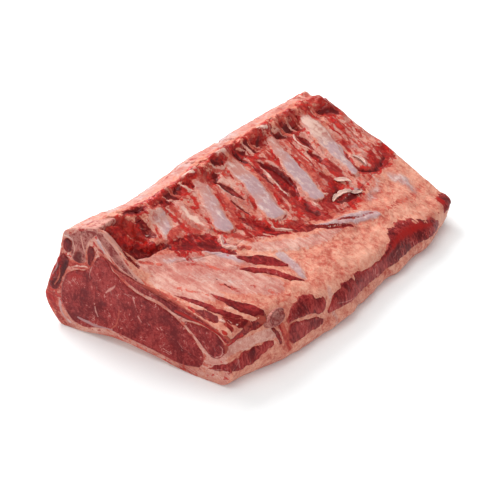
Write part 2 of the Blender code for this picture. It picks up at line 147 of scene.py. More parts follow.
def through(points: Array, counts: Sequence[int], closed: bool) -> Array:
    """Smooth curve through control points with a set number of steps in each span.

    Args:
        points: Control points, one row each.
        counts: Steps in each span.
        closed: Whether the last point joins the first.

    Returns:
        Points of the curve; an open curve ends on its last control point.
    """
    p = np.asarray(points, float)
    n = len(p)
    spans = n if closed else n - 1
    nxt = (np.arange(spans) + 1) % n
    length = np.maximum(np.linalg.norm(p[nxt] - p[:spans], axis=1), 1e-6)
    rate = (p[nxt] - p[:spans]) / length[:, None]
    slope = np.empty_like(p)
    for i in range(n):
        if closed or 0 < i < n - 1:
            a, b = (i - 1) % spans, i % spans
            slope[i] = (rate[a] * length[b] + rate[b] * length[a]) / (length[a] + length[b])
        else:
            slope[i] = rate[0] if i == 0 else rate[-1]
    made = []
    for i in range(spans):
        t = (np.arange(counts[i]) / counts[i])[:, None]
        a, b, h = p[i], p[nxt[i]], length[i]
        made.append(
            (2 * t**3 - 3 * t**2 + 1) * a + (t**3 - 2 * t**2 + t) * h * slope[i]
            + (3 * t**2 - 2 * t**3) * b + (t**3 - t**2) * h * slope[nxt[i]]
        )
    if not closed:
        made.append(p[-1:])
    return np.concatenate(made)


def spaced(curve: Array, count: int, closed: bool) -> Array:
    """The same curve with points an even distance apart."""
    line = np.concatenate([curve, curve[:1]]) if closed else curve
    gone = np.concatenate([[0.0], np.cumsum(np.linalg.norm(np.diff(line, axis=0), axis=1))])
    want = np.linspace(0.0, gone[-1], count + (1 if closed else 0))
    if closed:
        want = want[:-1]
    return np.stack([np.interp(want, gone, line[:, k]) for k in range(line.shape[1])], axis=1)


class Grain:
    """Seeded smooth noise on a lattice, from -1 to 1."""

    def __init__(self, seed: int) -> None:
        """Fills the lattice table from the seed."""
        self.table = np.random.default_rng(seed).uniform(-1.0, 1.0, 8192)

    def at(self, points: Array, size: float) -> Array:
        """One layer of noise.

        Args:
            points: Places, with x, y and z on the last axis.
            size: Width of one lattice cell.

        Returns:
            Noise at each place.
        """
        p = points / size
        cell = np.floor(p).astype(np.int64)
        f = p - cell
        f = f * f * f * (f * (f * 6.0 - 15.0) + 10.0)
        total = np.zeros(points.shape[:-1])
        for corner in product((0, 1), repeat=3):
            keys = [(cell[..., k] + corner[k]) * LATTICE[k] for k in range(3)]
            near = [f[..., k] if corner[k] else 1.0 - f[..., k] for k in range(3)]
            key = (keys[0] ^ keys[1] ^ keys[2]) % len(self.table)
            total += near[0] * near[1] * near[2] * self.table[key]
        return total

    def layers(self, points: Array, size: float, count: int, keep: float = 0.5) -> Array:
        """Noise with finer layers added, each keep times as strong.

        Args:
            points: Places, with x, y and z on the last axis.
            size: Width of the coarsest cell.
            count: Number of layers.
            keep: Strength of each layer against the one before.

        Returns:
            Noise at each place, about -1 to 1.
        """
        total = np.zeros(points.shape[:-1])
        weight, whole = 1.0, 0.0
        for step in range(count):
            total += weight * self.at(points + 31.7 * step, size / 2.0**step)
            whole += weight
            weight *= keep
        return total / whole


# ------------------------------------------------------------------ marks


@dataclass(frozen=True)
class Mark:
    """A streak, patch or hollow painted and carved along a path."""

    tissue: Tissue | None
    path: Path2
    half: tuple[float, ...]
    strength: float = 1.0
    soft: float = 2.0
    rise: float = 0.0
    over: bool = False

    def reach(self, a: Array, b: Array) -> Array:
        """Distance in mm inside the mark, negative outside it."""
        line = np.asarray(self.path, float)
        if len(line) > 2:
            line = through(line, [4] * (len(line) - 1), False)
        gone = np.concatenate([[0.0], np.cumsum(np.linalg.norm(np.diff(line, axis=0), axis=1))])
        half = np.interp(gone, np.linspace(0.0, gone[-1], len(self.half)), self.half)
        best = np.full(a.shape, -1e6)
        for i in range(len(line) - 1):
            start, run = line[i], line[i + 1] - line[i]
            t = unit(((a - start[0]) * run[0] + (b - start[1]) * run[1]) / max(run @ run, 1e-9))
            away = np.hypot(a - start[0] - t * run[0], b - start[1] - t * run[1])
            best = np.maximum(best, half[i] + (half[i + 1] - half[i]) * t - away)
        return best

    def lay(self, a: Array, b: Array, weight: Array, tissues: dict[str, Array], rise: Array) -> None:
        """Adds the mark to a surface.

        Args:
            a: First coordinate of each point.
            b: Second coordinate of each point.
            weight: How much each point takes, from 0 to 1.
            tissues: Tissue amounts, changed in place.
            rise: Height to add along the normal in mm, changed in place.
        """
        points = np.asarray(self.path, float)
        margin = max(self.half) + 2.0 * self.soft + 1.0
        near = (
            (a > points[:, 0].min() - margin) & (a < points[:, 0].max() + margin)
            & (b > points[:, 1].min() - margin) & (b < points[:, 1].max() + margin) & (weight > 0.01)
        )
        if not near.any():
            return
        inside = self.reach(a[near], b[near])
        if self.tissue is not None:
            amount = self.strength * np.clip(0.5 + inside / (2.0 * self.soft), 0.0, 1.0) * weight[near]
            key = self.tissue.value
            if self.over:
                for hidden in ("edge", "lean", "blood", "dark"):
                    tissues[hidden][near] *= 1.0 - amount
            tissues[key][near] = np.maximum(tissues[key][near], amount)
        if self.rise:
            edge = max(min(self.soft * 1.6, max(self.half)), 0.6)
            rise[near] += self.rise * soft_step(inside, -0.5 * edge, edge) * weight[near]


cream_mark = partial(Mark, Tissue.CREAM)
silver_mark = partial(Mark, Tissue.SILVER)
edge_mark = partial(Mark, Tissue.EDGE)
lean_mark = partial(Mark, Tissue.LEAN)
blood_mark = partial(Mark, Tissue.BLOOD)
dark_mark = partial(Mark, Tissue.DARK)
pale_mark = partial(Mark, Tissue.PALE)
bone_mark = partial(Mark, Tissue.BONE)
hollow = partial(Mark, None)


def no_tissues(shape: tuple[int, ...]) -> dict[str, Array]:
    """Empty tissue amounts for a grid."""
    return {tissue.value: np.zeros(shape) for tissue in Tissue}


def show(tissues: dict[str, Array], **amounts: Array) -> None:
    """Raises each named tissue to at least its amount."""
    for name, amount in amounts.items():
        tissues[name] = np.maximum(tissues[name], amount)


def lay_all(
    marks: Sequence[Mark], a: Array, b: Array, weight: Array, tissues: dict[str, Array], rise: Array,
) -> None:
    """Adds marks to a surface in their order."""
    for mark in marks:
        mark.lay(a, b, weight, tissues, rise)


def sideways(line: Array) -> Array:
    """Unit vectors in plan, square to a line and to its left."""
    run = np.gradient(line, axis=0)
    normal = np.stack([-run[:, 1], run[:, 0]], 1)
    return normal / np.linalg.norm(normal, axis=1)[:, None]


def spread(line: Array, normal: Array, offset: Array) -> Array:
    """Points in plan beside a line, one row for each of its points."""
    return line[:, None, :] + normal[:, None, :] * offset[..., None]


# ------------------------------------------------------------ outer shape


@dataclass(frozen=True)
class LoinShape:
    """Sizes of the whole loin, in mm, by share of the way between its cuts."""

    front_y: float = -198.5
    front_slant: float = 0.10
    front_lean: float = 0.06
    back_y: float = 205.5
    across: tuple[float, ...] = (-62.0, -50.0, -40.0, -28.0, 0.0, 30.0, 60.0, 85.0, 99.0)
    height: tuple[tuple[float, tuple[float, ...]], ...] = (
        (0, (121, 125, 120, 109, 82, 75, 67.5, 58, 48.5)),
        (0.05, (119, 118, 104, 95, 83, 77, 71, 60, 52)),
        (0.12, (117, 108, 96, 91, 83, 76.5, 69.5, 63, 57)),
        (0.34, (113, 102, 97, 92, 80, 69, 61, 55, 51)),
        (0.5, (112, 101, 96, 91, 78, 66, 57, 50, 46)),
        (0.75, (109, 98, 94, 89, 76, 64, 54, 47, 42)),
        (1, (105, 96, 92, 86, 73, 61, 50, 42, 37)),
    )
    crest_x: Path2 = ((0, -90), (0.15, -85), (0.34, -80), (0.6, -82), (1, -86))
    crest_z: Path2 = ((0, 108), (0.15, 107.5), (0.34, 106), (0.6, 104), (1, 99))
    foot_x: Path2 = ((0, 88), (0.12, 99), (0.28, 108), (0.42, 117), (0.7, 114), (1, 117))
    shoulder_z: Path2 = ((0, 36), (0.12, 49), (0.28, 47), (0.4, 39), (0.68, 38), (0.84, 34), (1, 30))
    backbone_front: Path2 = (
        (-93, 98), (-100, 77), (-109, 59), (-116, 40), (-119, 30), (-116, 19), (-108, 7), (-101, 0),
    )
    backbone_rear: Path2 = (
        (-91, 90), (-97, 74), (-104, 57), (-111, 40), (-114, 30), (-112, 18), (-106, 7), (-100, 0),
    )
    disc_y: tuple[float, ...] = (-139.0, -85.0, -22.0, 42.0, 109.0, 182.0)

    def cut_y(self, x: Array, z: Array) -> Array:
        """Y of the front cut at a place across and up."""
        return self.front_y + self.front_slant * x + self.front_lean * z

    def along(self, x: Array, z: Array, share: Array | float) -> Array:
        """Y at a share of the way between the cuts."""
        start = self.cut_y(x, z)
        return start + (self.back_y - start) * share

    def share_at(self, x: Array, y: Array, z: Array | float) -> Array:
        """Share of the way between the cuts at a point."""
        start = self.cut_y(x, z)
        return np.clip((y - start) / (self.back_y - start), 0.0, 1.0)

    def top_by_share(self, x: Array, share: Array) -> Array:
        """Height of the bone side without its relief.

        Args:
            x: Places across.
            share: Shares along.

        Returns:
            Height of the smooth surface.
        """
        knots = [-88.0, -75.0, *self.across, self.across[-1] + 12.0]
        keys = [key for key, _ in self.height]
        at_x = []
        for key, row in self.height:
            edge = float(read(self.crest_z, key))
            past = 1.9 * row[-1] - 0.9 * row[-2]
            at_x.append(eased(x, knots, [edge, (row[0] + edge) / 2.0 + 1.0, *row, past]))
        at_x = np.stack(at_x)
        share = np.clip(np.broadcast_to(share, x.shape), 0.0, 1.0)
        low = np.clip(np.searchsorted(keys, share, side="right") - 1, 0, len(keys) - 2)
        k = np.asarray(keys)
        t = (share - k[low]) / (k[low + 1] - k[low])
        t = t * t * (3 - 2 * t) * 0.35 + t * 0.65
        first = np.take_along_axis(at_x, low[None], 0)[0]
        second = np.take_along_axis(at_x, low[None] + 1, 0)[0]
        return first * (1 - t) + second * t

    def top(self, x: Array, y: Array) -> Array:
        """Height of the bone side at a place in plan."""
        z = np.full(x.shape, 80.0)
        for _ in range(2):
            z = self.top_by_share(x, self.share_at(x, y, z))
        return z

    def controls(self, share: float) -> Array:
        """Control points of the outline at a station, underside first.

        Args:
            share: Share of the way between the cuts.

        Returns:
            Points as x and z, from the underside round by the flank and the bone side.
        """
        front = max(0.0, 1.0 - share / 0.35)
        lift = 3.0 * max(0.0, 1.0 - share / 0.15)
        foot = float(read(self.foot_x, share))
        shoulder = float(read(self.shoulder_z, share))
        side = np.array(self.backbone_front) * front + np.array(self.backbone_rear) * (1 - front)
        points = [(-88.0, 0.0), (-50.0, lift), (-22.0, lift), (30.0, 0.0), (foot - 14.0, 0.0)]
        points += [(foot - 2.0, 1.5), (foot + 4.0, 9.0)]
        points += [(foot + 5.0, 0.5 * shoulder + 4.0), (foot, shoulder)]
        xs = np.array(self.across[::-1])
        xs = np.minimum(xs, foot - 5.0 + (xs - self.across[-1]) * 0.15)
        points += list(zip(xs, self.top_by_share(xs, np.full(xs.shape, share))))
        crest_x, crest_z = float(read(self.crest_x, share)), float(read(self.crest_z, share))
        points.append(((self.across[0] + crest_x) / 2.0, (points[-1][1] + crest_z) / 2.0 + 1.0))
        points.append((crest_x, crest_z))
        return np.concatenate([points, side])

    def flank(self, share: float) -> Array:
        """Outline of the flank from its foot to its shoulder."""
        return through(self.controls(share)[4:11], [6] * 6, False)

    def backbone(self, share: float) -> Array:
        """Outline of the backbone side from the crest to its foot."""
        line = self.controls(share)[18:29]
        return through(line, [6] * (len(line) - 1), False)


class SideTable:
    """Reads how far out a side of the loin stands at a share and a height."""

    def __init__(self, outline: Callable[[float], Array], heights: Array) -> None:
        """Tabulates an outline at stations along the loin.

        Args:
            outline: Outline of the side at a share, as x and z.
            heights: Heights to tabulate.
        """
        self.shares = np.linspace(0.0, 1.0, 81)
        self.heights = heights
        rows = []
        for share in self.shares:
            line = outline(share)
            order = np.argsort(line[:, 1])
            rows.append(np.interp(heights, line[order, 1], line[order, 0]))
        self.table = np.array(rows)

    def x(self, share: Array, z: Array) -> Array:
        """X of the side at each share and height."""
        s = np.clip(share, 0.0, 1.0) * (len(self.shares) - 1)
        step = self.heights[1] - self.heights[0]
        h = np.clip((z - self.heights[0]) / step, 0.0, len(self.heights) - 1.001)
        i, j = np.minimum(s.astype(int), len(self.shares) - 2), h.astype(int)
        a, b = s - i, h - j
        t = self.table
        near = t[i, j] * (1 - b) + t[i, j + 1] * b
        far = t[i + 1, j] * (1 - b) + t[i + 1, j + 1] * b
        return near * (1 - a) + far * a


# ------------------------------------------------------------------ grids


ALL = (-900.0, -899.0, 899.0, 900.0)
Window = tuple[float, float, float, float]


@dataclass(frozen=True)
class Slump:
    """A gentle shift of one part of the whole loin, in mm."""

    move: tuple[float, float, float]
    x: Window = ALL
    y: Window = ALL
    z: Window = ALL

    def share(self, points: Array) -> Array:
        """How much of the shift each point takes."""
        total = np.ones(points.shape[:-1])
        for axis, (low, full, end, high) in enumerate((self.x, self.y, self.z)):
            value = points[..., axis]
            total = total * band(value, low, full, end, high)
        return total


def after(low: float, full: float) -> Window:
    """Window that opens from low to full and stays open."""
    return (low, full, *ALL[2:])


def until(end: float, high: float) -> Window:
    """Window that is open up to end and shut from high."""
    return (*ALL[:2], end, high)


SLUMPS = (
    Slump((0.0, 0.0, -7.5), until(-70, -52), (-165, -118, -95, -12), after(40, 90)),
    Slump((0.0, 0.0, -5.0), (-88, -76, -61, -51), after(166, 190), after(50, 80)),
    Slump((5.0, -12.0, 0.0), after(30, 105), after(60, 175)),
    Slump((0.0, 0.0, -2.5), after(50, 110), after(90, 190), after(15, 35)),
    Slump((6.0, 0.0, 0.0), after(40, 90), (-178, -125, -45, 5), until(22, 58)),
    Slump((5.5, 0.0, 0.0), after(60, 110), (90, 135, 185, 218), until(20, 60)),
    Slump((0.0, 0.0, 4.5), (-75, -30, 8, 55), until(-203, -182), until(3, 22)),
    Slump((7.5, 0.0, 0.0), after(60, 110), (20, 75, 115, 165), until(14, 50)),
    Slump((-5.5, -9.0, 0.0), after(60, 110), after(140, 195), until(10, 44)),
)


def settled(points: Array) -> Array:
    """The points after every slump.

    Args:
        points: Places in mm, as shaped.

    Returns:
        Places in mm, as the loin lies.
    """
    moved = points.astype(float).copy()
    for slump in SLUMPS:
        moved += slump.share(points)[..., None] * np.array(slump.move)
    return moved


def outward(points: Array) -> Array:
    """Unit normals of a grid of points, by its own neighbours."""
    across = np.gradient(points, axis=1)
    along = np.gradient(points, axis=0)
    normal = np.cross(across, along)
    return normal / np.maximum(np.linalg.norm(normal, axis=-1), 1e-9)[..., None]


@dataclass
class Grid:
    """A grid of points in mm with the tissues that show on it."""

    name: str
    points: Array
    tissues: dict[str, Array]
    closing: Closing = Closing.UNDER
    inward: tuple[float, float, float] = (0.0, 0.0, -6.0)

    def mesh(self) -> bpy.types.Object:
        """Makes the grid a closed mesh object in metres."""
        rows, cols = self.points.shape[:2]
        bm = bmesh.new()
        bmesh.ops.create_grid(bm, x_segments=cols - 1, y_segments=rows - 1, size=0.5)
        mesh = bpy.data.meshes.new(self.name)
        bm.to_mesh(mesh)
        count = len(mesh.vertices)
        flat = np.zeros(count * 3)
        mesh.vertices.foreach_get("co", flat)
        flat = flat.reshape(-1, 3)
        col = np.rint((flat[:, 0] + 0.5) * (cols - 1)).astype(int)
        row = np.rint((flat[:, 1] + 0.5) * (rows - 1)).astype(int)
        moved = (settled(self.points[row, col]) + FRAME_SHIFT) * MM
        mesh.vertices.foreach_set("co", moved.ravel())
        for key, amount in self.tissues.items():
            if amount.max() <= 0.01:
                continue
            layer = mesh.attributes.new(key, "FLOAT", "POINT")
            layer.data.foreach_set("value", amount[row, col].astype(np.float32))
        bm.clear()
        bm.from_mesh(mesh)
        if self.closing is Closing.TUBE:
            self._close_tube(bm)
        else:
            self._close_under(bm)
        bmesh.ops.recalc_face_normals(bm, faces=bm.faces[:])
        bm.to_mesh(mesh)
        bm.free()
        mesh.shade_smooth()
        obj = bpy.data.objects.new(self.name, mesh)
        bpy.context.scene.collection.objects.link(obj)
        return obj

    def _close_tube(self, bm: bmesh.types.BMesh) -> None:
        """Welds the seam of a tube and fills its two ends."""
        rim = [v for v in bm.verts if v.is_boundary]
        bmesh.ops.remove_doubles(bm, verts=rim, dist=0.00001)
        edges = [e for e in bm.edges if e.is_boundary]
        bmesh.ops.holes_fill(bm, edges=edges, sides=0)

    def _close_under(self, bm: bmesh.types.BMesh) -> None:
        """Carries the rim inwards and draws it together below the surface."""
        edges = [e for e in bm.edges if e.is_boundary]
        made = bmesh.ops.extrude_edge_only(bm, edges=edges)["geom"]
        verts = [g for g in made if isinstance(g, bmesh.types.BMVert)]
        bmesh.ops.translate(bm, verts=verts, vec=Vector(self.inward) * MM)
        edges = [g for g in made if isinstance(g, bmesh.types.BMEdge) and g.is_boundary]
        made = bmesh.ops.extrude_edge_only(bm, edges=edges)["geom"]
        verts = [g for g in made if isinstance(g, bmesh.types.BMVert)]
        centre = sum((v.co for v in verts), Vector()) / len(verts)
        bmesh.ops.scale(bm, vec=(0.0, 0.0, 0.0), space=Matrix.Translation(-centre), verts=verts)
        bmesh.ops.remove_doubles(bm, verts=verts, dist=0.00001)


# -------------------------------------------------------------- bone side

RECESS_MARKS = (
    blood_mark(((-52, -182), (-46, -168), (-42, -156)), (9, 16, 13), 0.9, 5, rise=-1),
    lean_mark(((-40, -176), (-32, -164), (-28, -152)), (9, 11, 7), 0.9, 3, rise=-0.5),
    blood_mark(((-57, -176), (-53, -166), (-48, -158), (-39, -154)), (6, 8, 8, 6), rise=-7),
    lean_mark(
        ((-49, -190), (-40, -185), (-32, -178), (-27, -168), (-24, -154), (-20, -140)),
        (4, 6.5, 7.5, 6.5, 4.5, 4), 1, 1.8, rise=-6.5,
    ),
    lean_mark(((-44, -180), (-38, -182), (-30, -188), (-22, -191)), (4, 4.5, 4, 3), 1, 1.8),
    lean_mark(((-34, -191), (-24, -189), (-16, -184)), (3.5, 4, 3), 1, 1.8, rise=-4),
    dark_mark(((-47, -187), (-38, -182), (-30, -173)), (1.6, 3, 2.4), 0.7, 4, rise=-1),
    dark_mark(((-29, -184), (-24, -170), (-22, -156)), (1.4, 2.4, 1.6), 0.8, 3, rise=-1),
    blood_mark(
        ((-51, -178), (-45, -171), (-38, -164), (-31, -157), (-27, -147)), (1.6, 1.8, 1.8, 1.8, 1.2), 1,
        1.2, rise=2,
    ),
    edge_mark(((-48, -172), (-42, -166), (-35, -160)), (0.9, 1, 0.9), 1, 1, rise=0.6),
    dark_mark(((-57, -173), (-53, -168)), (3.5, 4), 0.9, 3, rise=-2),
    dark_mark(((-61, -150), (-58, -140), (-58, -129)), (3, 4, 3), 0.95, 3, rise=-2),
    blood_mark(((-56, -182), (-50, -174), (-46, -164), (-40, -156), (-34, -152)), (2, 4, 5, 5, 3), 1, 2.5),
    edge_mark(((-54, -181), (-50, -174)), (1.6, 2.4), 1, 1.6, rise=0.4, over=True),
    edge_mark(((-49, -168), (-45, -161)), (1.4, 2.2), 1, 1.6, rise=0.4, over=True),
    edge_mark(((-41, -166), (-37, -158), (-33, -154)), (1.2, 2, 1.2), 1, 1.4, rise=0.4, over=True),
    lean_mark(((-47, -142), (-40, -141), (-35, -140)), (5.5, 6, 4), rise=-1.6),
    dark_mark(((-46, -141), (-38, -142)), (4,), 0.6, 4, rise=-1.2),
    pale_mark(((-47, -146), (-41, -137)), (0.6, 0.4), 0.6, 0.8, rise=0.5),
    pale_mark(((-43, -148), (-36, -138)), (0.4, 0.6), 0.6, 0.8, rise=0.5),
)
CREST_MARKS = (
    blood_mark(((-60, -148), (-56, -132), (-53, -114), (-53, -98)), (7, 8, 7, 6), 0.84, 5.5, rise=-1.2),
    dark_mark(((-56, -134), (-53, -124), (-52, -112), (-52, -102)), (3, 2.5, 3.6, 2.6), 0.8, 4, rise=-2),
    blood_mark(((-51, -100), (-54, -86), (-55, -70), (-56, -54)), (7, 9, 9, 6), 0.86, 5.5, rise=-1.4),
    dark_mark(
        ((-50, -96), (-54, -88), (-53, -79), (-57, -70), (-56, -58)), (2.5, 5.5, 4, 4, 2), 0.8, 4,
        rise=-2.2,
    ),
    blood_mark(((-46, -33), (-51, -20), (-54, -8), (-53, 4)), (6, 8, 8, 6), 0.86, 5.5, rise=-1.2),
    dark_mark(((-44, -28), (-49, -20), (-56, -11), (-55, -3)), (2.5, 4, 4.5, 3), 0.8, 4, rise=-2.2),
    blood_mark(((-57, 22), (-55, 36), (-53, 50), (-52, 66)), (7, 10, 11, 7), 0.86, 5.5, rise=-1.2),
    dark_mark(((-57, 29), (-52, 34), (-55, 46), (-50, 56), (-54, 64)), (3, 4, 6, 5, 3), 0.8, 4, rise=-2.2),
    blood_mark(((-51, 88), (-47, 106), (-47, 126), (-52, 144)), (6, 11, 11, 6), 0.86, 5.5, rise=-1.4),
    dark_mark(
        ((-52, 90), (-46, 102), (-51, 114), (-46, 128), (-50, 140)), (3, 5, 6, 5, 3), 0.8, 4, rise=-2.2,
    ),
    blood_mark(((-47, 160), (-44, 178), (-41, 198)), (6, 10, 10), 0.84, 5.5, rise=-1.2),
    dark_mark(((-48, 174), (-45, 186), (-38, 196)), (3, 5, 5), 0.8, 4, rise=-2),
    edge_mark(((-60, -122), (-50, -120), (-42, -118)), (1.2, 1.8, 1.2), 0.95, 1.4, rise=1.2, over=True),
    edge_mark(((-62, -84), (-52, -80), (-44, -74)), (1.4, 2.2, 1.4), 0.95, 1.6, rise=1.4, over=True),
    cream_mark(((-60, -66), (-51, -63), (-44, -58)), (1, 1.5, 1), 0.9, 1.2, rise=1.4, over=True),
    edge_mark(((-60, -26), (-52, -14), (-46, -4)), (1.2, 2.2, 1.2), 0.95, 1.6, rise=1.4, over=True),
    cream_mark(((-60, 40), (-50, 44), (-42, 44)), (1, 1.8, 1), 0.95, 1.4, rise=1.6, over=True),
    edge_mark(((-60, 52), (-52, 52), (-46, 60)), (1.4, 2.4, 1.4), 0.95, 1.6, rise=1.4, over=True),
    edge_mark(((-58, 100), (-50, 108), (-40, 112)), (1.4, 2.6, 1.6), 0.95, 1.6, rise=1.4, over=True),
    cream_mark(((-58, 120), (-50, 122), (-42, 120)), (0.8, 1.6, 0.8), 0.9, 1.2, rise=1.4, over=True),
    edge_mark(((-56, 168), (-46, 170), (-38, 178)), (1.4, 2.6, 1.6), 0.95, 1.8, rise=1.2, over=True),
    cream_mark(((-56, -100), (-50, -92), (-47, -84)), (0.7, 1, 0.7), 0.9, 1, rise=1.2, over=True),
    cream_mark(((-58, -20), (-52, -6), (-50, 6)), (0.7, 1.2, 0.8), 0.9, 1, rise=1.2, over=True),
    cream_mark(((-57, 30), (-53, 38), (-46, 38)), (0.6, 1, 0.6), 0.9, 1, rise=1.2, over=True),
    cream_mark(((-55, 92), (-52, 102), (-45, 104)), (0.6, 1.2, 0.6), 0.9, 1, rise=1.2, over=True),
    edge_mark(((-60, 134), (-52, 136), (-44, 134)), (1, 2, 1), 0.9, 1.4, rise=1.2, over=True),
    cream_mark(((-66, -106), (-63, -92), (-64, -78)), (2.5, 3.4, 2.5), 1, 2.5, rise=1.6),
    cream_mark(((-63, -64), (-60, -50), (-61, -38)), (3, 4.5, 3.5), 1, 2.5, rise=2),
    cream_mark(((-62, -8), (-61, 6), (-60, 20)), (3, 4.5, 3.5), 1, 2.5, rise=2),
    cream_mark(((-64, 66), (-61, 80), (-60, 92)), (3, 4.5, 3), 1, 2.5, rise=2),
    cream_mark(((-64, 112), (-63, 128), (-61, 142)), (2.5, 3.6, 3), 1, 2.5, rise=1.6),
    pale_mark(((-64, -58), (-60, -46)), (1.8,), 0.75, 1.6, rise=0.6),
    pale_mark(((-63, -4), (-60, 10)), (1.8,), 0.7, 1.6, rise=0.6),
    pale_mark(((-63, 72), (-60, 86)), (1.8,), 0.75, 1.6, rise=0.6),
)
